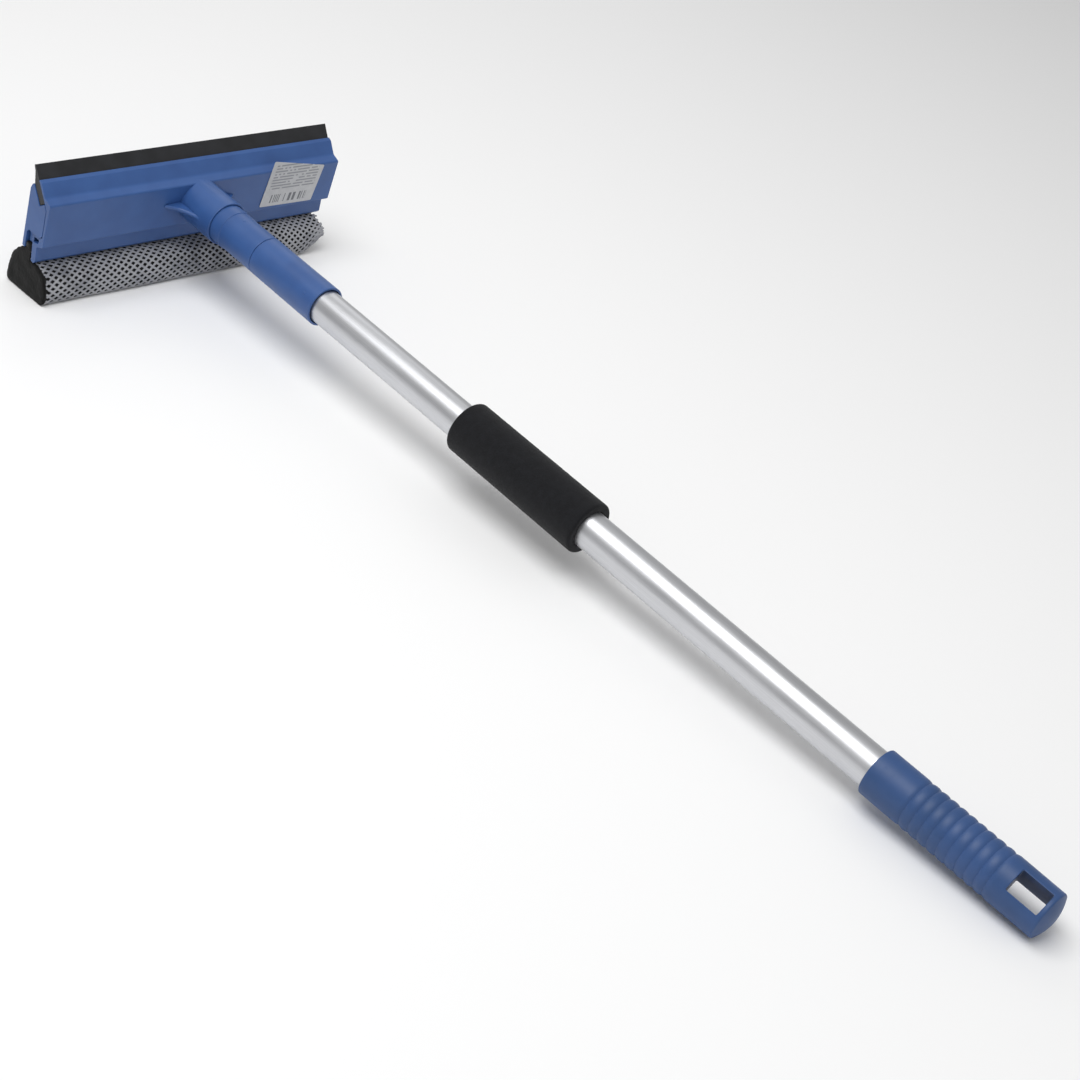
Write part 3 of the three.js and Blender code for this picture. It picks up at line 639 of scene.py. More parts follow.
# Pad: a foam block with netting drawn round it, both shaped from one path round the section
pad = {
    "cellLength": 5.65, "cellHeight": 4.4, "strandWidth": 1.46, "strandThickness": 0.62, "weave": 0.13,
    "swing": 0.14, "knot": 0.15, "step": 1.2, "netInset": 0.62, "foamInset": 1.2, "bulge": 0.75,
    "drift": 0.45, "gather": 0.0011, "gatherFrom": 40, "uneven": 0.35, "grid": 0.8, "skinColumns": 110,
    "left": -111.4, "bare": 1.7, "netLeft": -109.9, "tails": 1.7, "tailLength": 15, "netRight": 109.6,
    "ragged": 0.9, "foamRight": 108.6, "endRound": 18.5, "wornFrom": -33, "wornShare": 0.4, "floor": -54,
    "middle": 13, "endMiddles": (-40, -34), "endRings": 24, "endCrown": 0.35, "dent": 0.35, "pore": 0.12,
}
netMap = {"span": 400, "left": 0.5, "foot": 0.1}     # netting coordinates in the UV square


def tableUnder(y):
    # height of the table below the pad, in the pole's frame
    return pad["floor"] - math.tan(poleTilt) * (y - pad["middle"])


def padPath():
    # the pad's outside, from the front of its neck round the foot to the rear of its neck
    return rounded([
        (12, -20.5), (12, -30.5, 0.4), (5, -30.8, 1.5), (-2.6, -34, 6), (-6.5, -43, 9),
        (-6.2, tableUnder(-6.2), 4), (33.4, tableUnder(33.4), 3.5), (32.2, -44, 9), (29.8, -34.5, 5),
        (25.5, -29, 4), (20.5, -25.2, 1.5), (18, -25, 0.4), (18, -20.5)], steps=6, closed=False)


def evenPath(step):
    # points and outward normals at even lengths along the pad's path, and its whole length
    outline = padPath()
    lengths = [0.0]
    for one, two in zip(outline, outline[1:]):
        lengths.append(lengths[-1] + (two - one).length)
    count = round(lengths[-1] / step)
    points, i = [], 0
    for k in range(count + 1):
        length = lengths[-1] * k / count
        while i < len(outline) - 2 and lengths[i + 1] < length:
            i += 1
        share = (length - lengths[i]) / max(lengths[i + 1] - lengths[i], 1e-6)
        points.append(outline[i].lerp(outline[i + 1], share))
    normals = []
    for k in range(count + 1):
        along = points[min(k + 1, count)] - points[max(k - 1, 0)]
        normals.append(Vector((along.y, -along.x)).normalized())
    return points, normals, lengths[-1]


def padPoint(x, point, normal, length, inset):
    # a place on the pad, a little uneven, and raised where its right end has worn round
    uneven = pad["uneven"] * noise.noise(Vector((x / 24, length / 20, 1.7)))
    y, z = point + normal * (uneven - inset)
    past = (x - pad["netRight"]) / pad["endRound"] + 1
    if past > 0 and z < pad["wornFrom"]:
        left = max(1 - past ** 1.6, 0) ** 0.6
        z = pad["wornFrom"] + (z - pad["wornFrom"]) * max(left, pad["wornShare"])
    return Vector((x, y, max(z, tableUnder(y) + 0.05)))


def lattice(x, length):
    # netting coordinates: cells shorten towards the right end and wander a little
    spot = Vector((x / 21, length / 17, 4.2))
    pulled = x + pad["gather"] * max(x - pad["gatherFrom"], 0) ** 2
    return (pulled + pad["drift"] * noise.noise(spot),
            length + pad["drift"] * noise.noise(spot + Vector((0, 0, 9))))


def netSkin():
    # the surface the netting lies on, with its netting coordinates as a UV map
    points, normals, whole = evenPath(1)
    columns = pad["skinColumns"]
    grid = bmesh.new()
    uv = grid.loops.layers.uv.new("net")
    rows = []
    for c in range(columns + 1):
        share = c / columns
        row = []
        for k, (point, normal) in enumerate(zip(points, normals)):
            length = whole * k / (len(points) - 1)
            ragged = pad["ragged"] * noise.noise(Vector((share * 3, length / 2.2, 7)))
            neck = max(1 - min(length, whole - length) / pad["tailLength"], 0) ** 0.5
            left = pad["netLeft"] - neck * pad["tails"]
            x = left + (pad["netRight"] - left) * share + ragged * share ** 12
            row.append((grid.verts.new(padPoint(x, point, normal, length, pad["netInset"])),
                        lattice(x, length)))
        rows.append(row)
    for one, two in zip(rows, rows[1:]):
        for k in range(len(one) - 1):
            corners = (one[k], one[k + 1], two[k + 1], two[k])
            face = grid.faces.new([corner[0] for corner in corners])
            face.smooth = True
            for loop, corner in zip(face.loops, corners):
                loop[uv].uv = (corner[1][0] / netMap["span"] + netMap["left"],
                               corner[1][1] / netMap["span"] + netMap["foot"])
    return asObject("netSkin", grid), whole


def strandProfile():
    # two yarns side by side, flattened on the foam
    wide, thick = pad["strandWidth"], pad["strandThickness"]
    shares = [(0.5, 0), (0.38, 0.5), (0.14, 0.48), (0, 0.25), (-0.14, 0.48), (-0.38, 0.5), (-0.5, 0),
              (-0.36, -0.5), (0, -0.4), (0.36, -0.5)]
    line = bpy.data.meshes.new("strandProfile")
    count = len(shares)
    line.from_pydata([(thick * b, wide * a, 0) for a, b in shares],
                     [(k, (k + 1) % count) for k in range(count)], [])
    return asObject("strandProfile", line)


def netTree():
    # two families of strands on a skin, over and under each other, as a plain mesh
    tree, given = newTree("drawnNetting", {
        "Profile": "NodeSocketObject", "Finish": "NodeSocketMaterial", "Left": "NodeSocketFloat",
        "Strands": "NodeSocketInt", "Points": "NodeSocketInt", "Step": "NodeSocketFloat",
        "Cell Length": "NodeSocketFloat", "Cell Height": "NodeSocketFloat", "Weave": "NodeSocketFloat",
        "Swing": "NodeSocketFloat", "Knot": "NodeSocketFloat"})
    row = addNode(tree, "GeometryNodeMeshLine", Count=given["Strands"],
                  Start_Location=addNode(tree, "ShaderNodeCombineXYZ", {}, given["Left"]),
                  Offset=addNode(tree, "ShaderNodeCombineXYZ", {}, given["Cell Length"]))
    strand = addNode(tree, "GeometryNodeMeshLine", Count=given["Points"],
                     Offset=addNode(tree, "ShaderNodeCombineXYZ", _1=given["Step"]))
    slope = addNode(tree, "ShaderNodeMath", {"operation": "DIVIDE"}, given["Cell Length"],
                    given["Cell Height"])
    families = addNode(tree, "GeometryNodeJoinGeometry")
    for side in (1.0, -1.0):
        placed = addNode(tree, "GeometryNodeInstanceOnPoints", Points=row, Instance=strand)
        loose = addNode(tree, "GeometryNodeRealizeInstances", Geometry=placed)
        flat = addNode(tree, "ShaderNodeSeparateXYZ", {}, addNode(tree, "GeometryNodeInputPosition"))
        length = flat.outputs[1]

        # a strand leans by one cell length for each cell height, and bends at every knot
        turns = addNode(tree, "ShaderNodeMath", {"operation": "MULTIPLY"}, length, 4 * math.pi)
        turn = addNode(tree, "ShaderNodeMath", {"operation": "DIVIDE"}, turns, given["Cell Height"])
        wave = addNode(tree, "ShaderNodeMath", {"operation": "SINE"}, turn)
        swing = addNode(tree, "ShaderNodeMath", {"operation": "MULTIPLY"}, wave, given["Swing"])
        straight = addNode(tree, "ShaderNodeMath", {"operation": "MULTIPLY"}, length, slope)
        lean = addNode(tree, "ShaderNodeMath", {"operation": "SUBTRACT"}, straight, swing)
        across = addNode(tree, "ShaderNodeMath", {"operation": "MULTIPLY_ADD"}, lean, side, flat.outputs[0])

        # its place and outward direction on the skin
        scale = 1 / netMap["span"]
        spot = addNode(tree, "ShaderNodeCombineXYZ", {}, *[
            addNode(tree, "ShaderNodeMath", {"operation": "MULTIPLY_ADD"}, value, scale, start)
            for value, start in ((across, netMap["left"]), (length, netMap["foot"]))])
        skinMap = addNode(tree, "GeometryNodeInputNamedAttribute", {"data_type": "FLOAT_VECTOR"}, Name="net")
        found, outward = [
            addNode(tree, "GeometryNodeSampleUVSurface", {"data_type": "FLOAT_VECTOR"},
                    Mesh=given["Geometry"], Value=addNode(tree, wanted), Source_UV_Map=skinMap,
                    Sample_UV=spot)
            for wanted in ("GeometryNodeInputPosition", "GeometryNodeInputNormal")]

        # one family rises where the other dips
        halfTurn = addNode(tree, "ShaderNodeMath", {"operation": "DIVIDE"}, turn, 2.0)
        weaving = addNode(tree, "ShaderNodeMath", {"operation": "COSINE"}, halfTurn)
        rise = addNode(tree, "ShaderNodeMath", {"operation": "MULTIPLY"}, weaving, given["Weave"])
        height = addNode(tree, "ShaderNodeMath", {"operation": "MULTIPLY"}, rise, side)
        lift = addNode(tree, "ShaderNodeVectorMath", {"operation": "SCALE"}, outward, Scale=height)
        target = addNode(tree, "ShaderNodeVectorMath", {}, found, lift)
        thickening = addNode(tree, "ShaderNodeMath", {"operation": "COSINE"}, turn)
        knot = addNode(tree, "ShaderNodeMath", {"operation": "MULTIPLY_ADD"}, thickening, given["Knot"], 1.0)
        kept = loose
        for name, kind, value in (("outward", "FLOAT_VECTOR", outward), ("knot", "FLOAT", knot),
                                  ("onSkin", "BOOLEAN", found.outputs[1])):
            kept = addNode(tree, "GeometryNodeStoreNamedAttribute", {"data_type": kind}, Geometry=kept,
                           Name=name, Value=value)
        moved = addNode(tree, "GeometryNodeSetPosition", Geometry=kept, Position=target)
        tree.links.new(moved.outputs[0], families.inputs[0])

    onSkin = addNode(tree, "GeometryNodeInputNamedAttribute", {"data_type": "BOOLEAN"}, Name="onSkin")
    trimmed = addNode(tree, "GeometryNodeDeleteGeometry", Geometry=families,
                      Selection=addNode(tree, "FunctionNodeBooleanMath", {"operation": "NOT"}, onSkin))
    outward = addNode(tree, "GeometryNodeInputNamedAttribute", {"data_type": "FLOAT_VECTOR"}, Name="outward")
    turned = addNode(tree, "GeometryNodeSetCurveNormal", {"mode": "FREE"}, Normal=outward,
                     Curve=addNode(tree, "GeometryNodeMeshToCurve", Mesh=trimmed))
    outline = addNode(tree, "GeometryNodeObjectInfo", {}, given["Profile"])
    profile = addNode(tree, "GeometryNodeMeshToCurve", Mesh=outline.outputs["Geometry"])
    knots = addNode(tree, "GeometryNodeInputNamedAttribute", Name="knot")
    solid = addNode(tree, "GeometryNodeCurveToMesh", Curve=turned, Profile_Curve=profile, Scale=knots,
                    Fill_Caps=True)
    endTree(tree, solid, given["Finish"])
    return tree


def makeNetting():
    skin, whole = netSkin()
    profile = strandProfile()
    reach = whole * pad["cellLength"] / pad["cellHeight"] + 12
    # one row of starts serves both families, so it reaches past both ends of the pad
    span = pad["netRight"] - pad["left"] + 2 * reach
    mesh = grow(skin, netTree(), {
        "Profile": profile, "Finish": netYarn, "Left": pad["left"] - reach,
        "Strands": int(span / pad["cellLength"]) + 1, "Points": int(whole / pad["step"]) + 2,
        "Step": pad["step"], "Cell Length": pad["cellLength"], "Cell Height": pad["cellHeight"],
        "Weave": pad["weave"], "Swing": pad["swing"], "Knot": pad["knot"]})
    bpy.data.objects.remove(profile)
    piece = finishPiece("polyester_netting", mesh, netYarn, "head", ["netting"],
                        crease=75, weighted=False)


def makeFoamBlock():
    # the foam swells a little through the netting's holes; its ends are plain cuts
    points, normals, whole = evenPath(pad["grid"])
    count = len(points)
    columns = round((pad["foamRight"] - pad["left"]) / pad["grid"])
    mesh = bmesh.new()
    rings = []
    for c in range(columns + 1):
        x = pad["left"] + (pad["foamRight"] - pad["left"]) * c / columns
        ends = min(c, columns - c) * pad["grid"]
        shrink = 0.6 * max(1 - ends / 1.6, 0) ** 2
        bare = pad["bare"] * min(max(2 - c * pad["grid"] / 1.2, 0), 1)
        ring = []
        for k, (point, normal) in enumerate(zip(points, normals)):
            length = whole * k / (count - 1)
            netX, netY = lattice(x, length)
            one = netX / pad["cellLength"] + netY / pad["cellHeight"]
            two = netX / pad["cellLength"] - netY / pad["cellHeight"]
            swell = (1 - bare) * pad["bulge"] * abs(math.sin(math.pi * one) * math.sin(math.pi * two)) ** 0.8
            inset = pad["foamInset"] - swell - bare + shrink
            ring.append(mesh.verts.new(padPoint(x, point, normal, length, inset)))
        rings.append(ring)
    for one, two in zip(rings, rings[1:]):
        for k in range(count):
            n = (k + 1) % count
            mesh.faces.new((one[k], one[n], two[n], two[k]))
    for ring, side, height in ((rings[0], -1, pad["endMiddles"][0]), (rings[-1], 1, pad["endMiddles"][1])):
        x = ring[0].co.x
        centre = Vector((x, pad["middle"], height))
        previous = ring
        for j in range(1, pad["endRings"]):
            share = 1 - j / pad["endRings"]
            inner = []
            for vertex in ring:
                place = centre.lerp(vertex.co, share)
                dent = noise.noise(place / 7) * pad["dent"] + noise.noise(place / 2.1) * pad["pore"]
                place.x = x + side * (pad["endCrown"] * min(j / 3, 1) + dent * min(j / 4, 1))
                inner.append(mesh.verts.new(place))
            for k in range(count):
                n = (k + 1) % count
                mesh.faces.new((previous[k], previous[n], inner[n], inner[k]))
            previous = inner
        mesh.faces.new(previous)
    bmesh.ops.recalc_face_normals(mesh, faces=mesh.faces)
    piece = finishPiece("foam_block", mesh, padCell, "head", ["sponge"],
                        crease=75, weighted=False)


# Label stuck on the front panel, its top corner standing proud of the lip
label = {"corners": [(51.8, -13.1), (95.8, -14.1), (99.5, 12.5), (55.7, 20.6)], "thickness": 0.25,
         "gap": 0.3, "corner": 1, "curl": 0.5}


def makeLabel():
    panelLean = math.atan2(head["panelFoot"][0], head["panelTop"] - head["panelFoot"][1])
    outline = rounded([(*corner, label["corner"]) for corner in label["corners"]], steps=5)
    origin, right, _, top = [Vector(corner) for corner in label["corners"]]
    across, up = right - origin, top - origin
    whole = across.x * up.y - across.y * up.x
    centre = sum(outline, Vector((0, 0))) / len(outline)
    mesh = bmesh.new()
    uv = mesh.loops.layers.uv.new("label")

    def place(point, depth):
        below = head["panelTop"] - point.y
        lift = label["curl"] * max(point.y - head["panelTop"] - 2, 0) ** 2 / 30
        y = -label["gap"] - depth + math.tan(panelLean) * below + lift
        return (point.x, y, point.y)

    def spot(point):
        offset = point - origin
        return ((offset.x * up.y - offset.y * up.x) / whole,
                (across.x * offset.y - across.y * offset.x) / whole)

    rings = []
    for depth, shares in ((label["thickness"], [0.02, 0.2, 0.4, 0.6, 0.8, 0.97, 1]), (0, [1, 0.5, 0.02])):
        for share in shares:
            flat = [centre.lerp(point, share) for point in outline]
            rings.append([(mesh.verts.new(place(point, depth)), spot(point)) for point in flat])

    def close(corners):
        face = mesh.faces.new([corner[0] for corner in corners])
        for loop, corner in zip(face.loops, corners):
            loop[uv].uv = corner[1]

    for one, two in zip(rings, rings[1:]):
        for k in range(len(outline)):
            n = (k + 1) % len(outline)
            close((one[k], one[n], two[n], two[k]))
    close(rings[0])
    close(list(reversed(rings[-1])))
    bmesh.ops.recalc_face_normals(mesh, faces=mesh.faces)
    finishPiece("printed_label", mesh, labelPaper, "head", ["label"])


# Pole: inner tube with its coupling, outer tube with its ferrule, foam sleeve and end grip
pole = {
    "innerRadius": 9.5, "innerSpan": (10, 510), "outerRadius": 11, "outerSpan": (72.6, 640.6), "wall": 1,
    "couplingTop": 3.5, "collarRadius": 13.2, "collarSpan": (24.5, 37.4), "couplingRadius": 12.85,
    "couplingEnd": 68, "ferruleRadius": 13.1, "ferruleSpan": (68.3, 126.6), "ferruleMouth": 11.75,
    "mouthDepth": 8, "fit": 0.3, "pinRadius": 1.1, "couplingPin": (10, 45.4), "ferrulePin": (59.6, 117.4),
}


def makeTube(name, node, radius, span, body):
    start, end = span
    inside = radius - pole["wall"]
    profile = rounded([(inside, start, 0.2), (radius, start, 0.3), (radius, end, 0.3), (inside, end, 0.2)],
                      steps=4)
    finishPiece(name, latheMesh(profile, 128, closed=True), tubeMetal, body, [node])


def makeCoupling():
    radius, end = pole["couplingRadius"], pole["couplingEnd"]
    collar, (collarStart, collarEnd) = pole["collarRadius"], pole["collarSpan"]
    bore = pole["innerRadius"] + pole["fit"]
    mouth = head["bossRadius"] - head["spigotWall"] - pole["fit"]
    profile = rounded([
        (0, pole["couplingTop"]), (mouth - head["taper"], pole["couplingTop"], 0.4), (mouth, collarStart),
        (collar, collarStart, 0.4), (collar, collarEnd, 0.5), (radius, collarEnd + 0.1, 0.15),
        (radius, end, 0.45), (bore, end, 0.3), (bore, pole["innerSpan"][0] - pole["fit"], 0.2),
        (0, pole["innerSpan"][0] - pole["fit"])], steps=5, closed=False)
    finishPiece("coupling_moulding", latheMesh(profile, 128), bluePlastic, "head",
                ["coupling"])


def makeFerrule():
    radius, (start, end) = pole["ferruleRadius"], pole["ferruleSpan"]
    nose, seat = pole["innerRadius"] + pole["fit"], pole["outerRadius"] + pole["fit"]
    mouth, inner = pole["ferruleMouth"], end - pole["mouthDepth"]
    step = pole["outerSpan"][0] - pole["fit"]
    profile = rounded([
        (nose, start, 0.3), (radius - 0.55, start, 0.35), (radius - 0.15, start + 0.5, 0.3),
        (radius, end, 0.5), (mouth, end, 0.25), (mouth, inner, 0.3), (seat, inner - 1, 0.2),
        (seat, step, 0.2), (nose, step, 0.2)], steps=5)
    finishPiece("ferrule_moulding", latheMesh(profile, 128, closed=True), bluePlastic, "handle",
                ["ferrule"])


def makePeg(name, node, place, inside, outside, body):
    # peg with a slightly domed end, pressed in at an angle from the top of the pole
    angle, station = math.radians(place[0]), place[1]
    radius = pole["pinRadius"]
    profile = [(0, -inside), (radius, -inside), (radius, -outside + 0.1)]
    profile += [(radius * math.cos(t * math.pi / 12), -outside - 0.22 * math.sin(t * math.pi / 12))
                for t in range(1, 6)] + [(0, -outside - 0.22)]
    mesh = latheMesh(profile, 40)
    bmesh.ops.rotate(mesh, verts=mesh.verts, matrix=Matrix.Rotation(math.pi / 2, 3, "X"))
    bmesh.ops.rotate(mesh, verts=mesh.verts, matrix=Matrix.Rotation(-angle, 3, "Y"))
    bmesh.ops.translate(mesh, verts=mesh.verts, vec=(0, -station, 0))
    finishPiece(name, mesh, bluePlastic, body, [node])


def densify(outline, step):
    # adds points so that no side of a closed outline is longer than the step
    dense = []
    for one, two in zip(outline, outline[1:] + outline[:1]):
        pieces = max(1, math.ceil((two - one).length / step))
        dense += [one.lerp(two, k / pieces) for k in range(pieces)]
    return dense


sleeve = {"bore": 11.3, "radius": 16.15, "span": (256, 357), "edge": 1.5, "uneven": 0.07, "step": 1}


def makeSleeve():
    # foam tube cut square, its skin slightly pebbled
    bore, radius, (start, end), edge = sleeve["bore"], sleeve["radius"], sleeve["span"], sleeve["edge"]
    outline = rounded([(bore, start, 0.4), (radius, start, edge), (radius, end, edge), (bore, end, 0.4)],
                      steps=6)
    mesh = latheMesh(densify(outline, sleeve["step"]), 144, closed=True)
    for vertex in mesh.verts:
        around = Vector((vertex.co.x, 0, vertex.co.z))
        if around.length > bore + 0.4:
            bump = noise.noise(vertex.co / 3.2) + 0.6 * noise.noise(vertex.co / 1.4)
            vertex.co += around.normalized() * sleeve["uneven"] * bump
    piece = finishPiece("grip_sleeve", mesh, sleeveCell, "handle", ["foam_sleeve"],
                        crease=60, weighted=False)


# End grip with turned ring grooves and a hanging slot
grip = {
    "radius": 13.6, "endRadius": 13.4, "start": 564.4, "rim": 672, "dome": 3.4, "socket": 11.3,
    "socketEnd": 640.9, "firstRing": 590, "pitch": 5.8, "rings": 10, "depth": 0.7, "sharpness": 2.2,
    "slotSpan": (651.2, 669.5), "slotWidth": 13.1, "slotTurn": math.radians(37), "slotCorner": 0.7,
    "slotEdge": 0.45, "slotLean": 0.15, "slotFace": 12, "turnedStep": 0.29, "plainStep": 4,
}


def ringTree():
    # turns a plain grip into a row of rounded ribs with a narrow groove between each two
    tree, given = newTree("turnedRings", {
        "Finish": "NodeSocketMaterial", "First": "NodeSocketFloat", "Pitch": "NodeSocketFloat",
        "Count": "NodeSocketFloat", "Depth": "NodeSocketFloat", "Sharpness": "NodeSocketFloat",
        "Skin": "NodeSocketFloat"})
    place = addNode(tree, "ShaderNodeSeparateXYZ", {}, addNode(tree, "GeometryNodeInputPosition"))
    station = addNode(tree, "ShaderNodeMath", {"operation": "MULTIPLY"}, place.outputs[1], -1.0)
    past = addNode(tree, "ShaderNodeMath", {"operation": "SUBTRACT"}, station, given["First"])
    ring = addNode(tree, "ShaderNodeMath", {"operation": "DIVIDE"}, past, given["Pitch"])

    # 1 in the middle of a groove, falling to 0 on the crown of a rib
    centred = addNode(tree, "ShaderNodeMath", {"operation": "ADD"}, ring, 0.5)
    part = addNode(tree, "ShaderNodeMath", {"operation": "FRACT"}, centred)
    offCentre = addNode(tree, "ShaderNodeMath", {"operation": "SUBTRACT"}, part, 0.5)
    share = addNode(tree, "ShaderNodeMath", {"operation": "ABSOLUTE"}, offCentre)
    doubled = addNode(tree, "ShaderNodeMath", {"operation": "MULTIPLY"}, share, 2.0)
    flank = addNode(tree, "ShaderNodeMath", {"operation": "SUBTRACT"}, 1.0, doubled)
    drop = addNode(tree, "ShaderNodeMath", {"operation": "POWER"}, flank, given["Sharpness"])

    # only on the outside, and only along the row
    flat = addNode(tree, "ShaderNodeCombineXYZ", _0=place.outputs[0], _2=place.outputs[2])
    radius = addNode(tree, "ShaderNodeVectorMath", {"operation": "LENGTH"}, flat).outputs["Value"]
    amount = addNode(tree, "ShaderNodeMath", {"operation": "MULTIPLY"}, drop, given["Depth"])
    for operation, value, limit in (("GREATER_THAN", centred, 0.0), ("LESS_THAN", centred, given["Count"]),
                                    ("GREATER_THAN", radius, given["Skin"])):
        within = addNode(tree, "ShaderNodeMath", {"operation": operation}, value, limit)
        amount = addNode(tree, "ShaderNodeMath", {"operation": "MULTIPLY"}, amount, within)
    inward = addNode(tree, "ShaderNodeMath", {"operation": "MULTIPLY"}, amount, -1.0)
    outwards = addNode(tree, "ShaderNodeVectorMath", {"operation": "NORMALIZE"}, flat)
    offset = addNode(tree, "ShaderNodeVectorMath", {"operation": "SCALE"}, outwards, Scale=inward)
    cut = addNode(tree, "GeometryNodeSetPosition", Geometry=given["Geometry"], Offset=offset)
    endTree(tree, cut, given["Finish"])
    return tree


def makeEndGrip():
    radius, start, rim = grip["radius"], grip["start"], grip["rim"]
    dome = [(grip["endRadius"] * t / 10, rim + grip["dome"] * (1 - (t / 10) ** 2)) for t in range(10)]
    ringsEnd = grip["firstRing"] + (grip["rings"] - 0.5) * grip["pitch"]
    outline = rounded([
        *dome, (grip["endRadius"], rim, 1.3), (radius, ringsEnd, 0.3), (radius, start, 0.7),
        (grip["socket"], start, 0.4), (grip["socket"], grip["socketEnd"], 0.3), (0, grip["socketEnd"])],
        steps=6, closed=False)
    dense = []
    for one, two in zip(outline, outline[1:]):
        outer = min(one.x, two.x) > grip["socket"] + 1
        step = grip["turnedStep"] if outer else grip["plainStep"]
        pieces = max(1, math.ceil((two - one).length / step))
        dense += [one.lerp(two, k / pieces) for k in range(pieces)]
    dense.append(outline[-1])
    mesh = latheMesh(dense, 144)
    softenSlot(mesh)
    plain = asObject("plainGrip", mesh)
    ringed = asObject("ringedGrip", grow(plain, ringTree(), {
        "Finish": gripPlastic, "First": float(grip["firstRing"]), "Pitch": grip["pitch"],
        "Count": float(grip["rings"]), "Depth": grip["depth"], "Sharpness": grip["sharpness"],
        "Skin": grip["socket"] + 1}))
    mesh = cutOrJoin(ringed, "DIFFERENCE", slotTool())
    finishPiece("ringed_grip", mesh, gripPlastic, "handle", ["end_grip"], crease=40)


def slotDistance(across, station):
    # distance outside the slot's rounded outline, negative inside it
    low, high = grip["slotSpan"]
    corner = grip["slotCorner"]
    a = abs(across) - grip["slotWidth"] / 2 + corner
    b = abs(station - (low + high) / 2) - (high - low) / 2 + corner
    return math.hypot(max(a, 0), max(b, 0)) + min(max(a, b), 0) - corner


def softenSlot(mesh):
    # rounds the slot's two rims before the slot is cut
    through = Vector((-math.sin(grip["slotTurn"]), 0, math.cos(grip["slotTurn"])))
    across = Vector((math.cos(grip["slotTurn"]), 0, math.sin(grip["slotTurn"])))
    edge = grip["slotEdge"]
    for vertex in mesh.verts:
        if math.hypot(vertex.co.x, vertex.co.z) < grip["socket"] + 0.5 and vertex.co.y > -grip["rim"]:
            continue
        lean = grip["slotLean"] * (grip["slotFace"] - vertex.co.dot(through))
        distance = slotDistance(vertex.co.dot(across), lean - vertex.co.y)
        if distance < edge:
            short = edge - max(distance, 0)
            drop = edge - math.sqrt(edge ** 2 - short ** 2)
            vertex.co -= through * math.copysign(drop, vertex.co.dot(through))


def slotTool():
    low, high = grip["slotSpan"]
    half, corner = grip["slotWidth"] / 2, grip["slotCorner"]
    outline = rounded([(-half, low, corner), (half, low, corner), (half, high, corner),
                       (-half, high, corner)], steps=8)
    mesh = bmesh.new()
    # the slot's far mouth lies a little nearer the head than the one on top
    rings = [[mesh.verts.new((point.x, grip["slotLean"] * (grip["slotFace"] - z) - point.y, z))
              for point in outline] for z in (-30, 30)]
    for k in range(len(outline)):
        n = (k + 1) % len(outline)
        mesh.faces.new((rings[0][k], rings[0][n], rings[1][n], rings[1][k]))
    mesh.faces.new(rings[0])
    mesh.faces.new(list(reversed(rings[1])))
    bmesh.ops.rotate(mesh, verts=mesh.verts, matrix=Matrix.Rotation(-grip["slotTurn"], 3, "Y"))
    bmesh.ops.recalc_face_normals(mesh, faces=mesh.faces)
    return asObject("slotTool", mesh)


makeFrontShell()
makeRearShell()
makeBlade()
makeScrews()
makeLabel()
print("head made")
makeFoamBlock()
makeNetting()
print("pad made")
makeTube("inner_pole", "inner_tube", pole["innerRadius"], pole["innerSpan"], "head")
makeTube("outer_pole", "outer_tube", pole["outerRadius"], pole["outerSpan"], "handle")
makeCoupling()
makeFerrule()
makePeg("coupling_peg", "coupling_pin", pole["couplingPin"], 8.9, pole["couplingRadius"], "head")
makePeg("ferrule_peg", "ferrule_pin", pole["ferrulePin"], 10.4, pole["ferruleRadius"], "handle")
makeSleeve()
makeEndGrip()
print("pole made")

# hidden parts keep their shape and get their real finish
hiddenFinish = {"pad_rail": bluePlastic, "lock_plug": nylon, "lock_ring": nylon, "lock_washer": nylon,
                "lock_screw": screwMetal}
for name, finish in hiddenFinish.items():
    data = frame["nodes"][name].data
    data.materials.clear()
    data.materials.append(finish)
print("hidden parts finished")

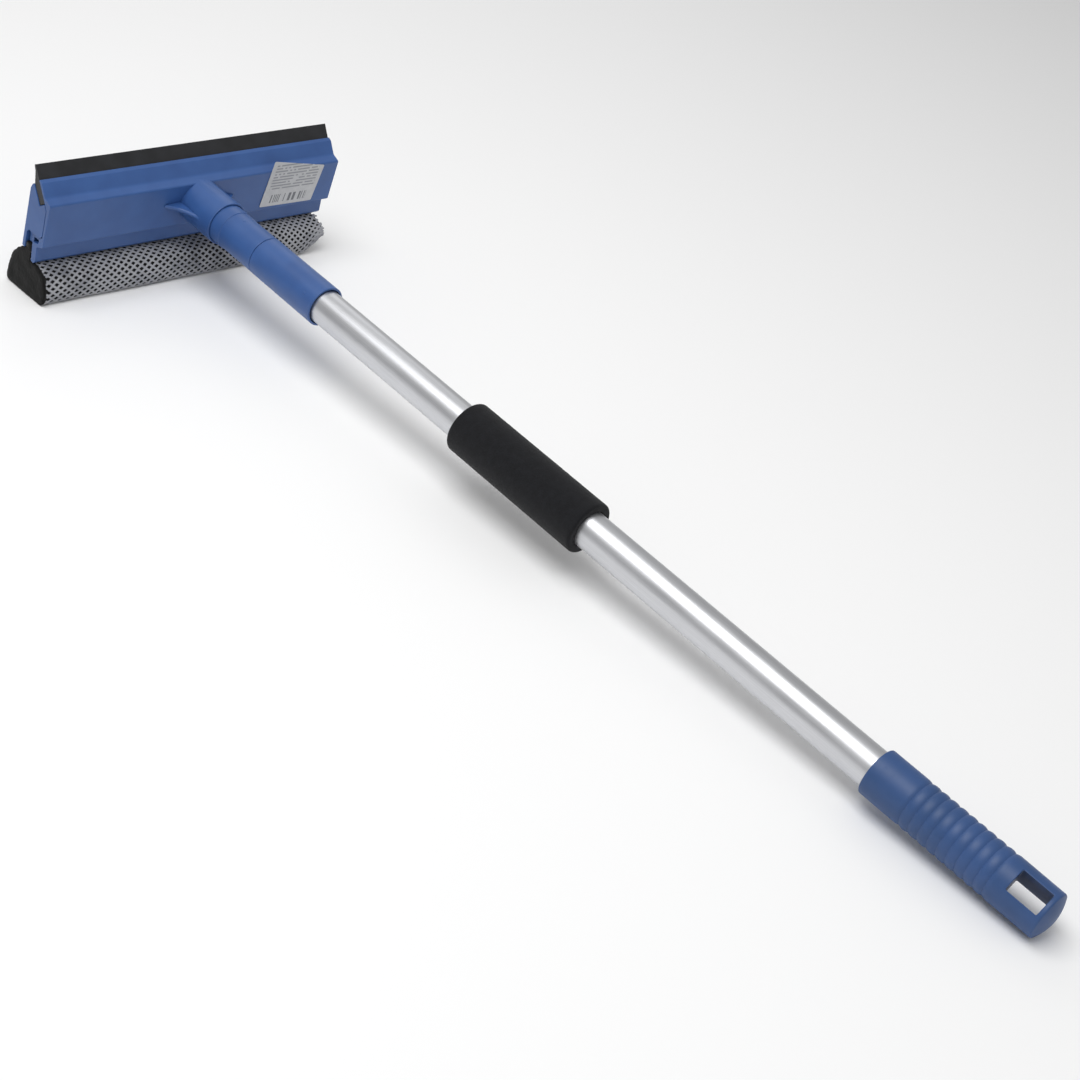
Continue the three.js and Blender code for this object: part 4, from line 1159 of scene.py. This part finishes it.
studio = {"floor": "#f9f9f9", "floorSize": 8, "world": 0.45, "key": 17.5, "fill": 0.4, "rim": 2}


def makeFloor():
    # board rolled with matt paint: even, hardly any gloss
    material, tree, _ = newMaterial("paintedBoard")
    endMaterial(tree, Base_Color=linear(studio["floor"]), Roughness=0.8)
    mesh = bmesh.new()
    bmesh.ops.create_grid(mesh, x_segments=1, y_segments=1, size=studio["floorSize"] / 2)
    floor = asObject("floor", mesh)
    floor.data.materials.append(material)


def softLight(name, place, target, size, power):
    # rectangular soft box aimed at a point
    data = bpy.data.lights.new(name, "AREA")
    data.shape = "RECTANGLE"
    data.size, data.size_y = size
    data.energy = power
    lamp = bpy.data.objects.new(name, data)
    bpy.context.collection.objects.link(lamp)
    lamp.location = place
    lamp.rotation_euler = (Vector(target) - Vector(place)).to_track_quat("-Z", "Y").to_euler()


makeFloor()
softLight("topBox", (-0.5, 0.15, 1.5), (0, 0, 0.03), (1.4, 1.0), studio["key"])
softLight("frontBox", (-0.9, -1.3, 0.9), (0, 0.1, 0.03), (1.0, 1.0), studio["fill"])
softLight("rearBox", (0.9, 1.3, 1.0), (0, 0.2, 0.03), (1.0, 0.8), studio["rim"])
world = bpy.data.worlds.new("whiteRoom")
world.use_nodes = True
world.node_tree.nodes["Background"].inputs[0].default_value = linear("#ffffff")
world.node_tree.nodes["Background"].inputs[1].default_value = studio["world"]
bpy.context.scene.world = world
bpy.context.scene.view_settings.view_transform = "Standard"
print("studio made")

view = {"place": (-0.74059, -0.53498, 0.58867), "right": (0.68210, -0.69019, 0.24162),
        "up": (0.25466, 0.53392, 0.80627), "lens": 64.34}
camera = bpy.data.cameras.new("camera")
camera.lens = view["lens"]
camera.sensor_width = 36
eye = bpy.data.objects.new("camera", camera)
bpy.context.collection.objects.link(eye)
right, up = Vector(view["right"]).normalized(), Vector(view["up"]).normalized()
back = right.cross(up).normalized()
turned = Matrix((right, back.cross(right), back)).transposed().to_4x4()
eye.matrix_world = Matrix.Translation(view["place"]) @ turned
bpy.context.scene.camera = eye
print("camera made")
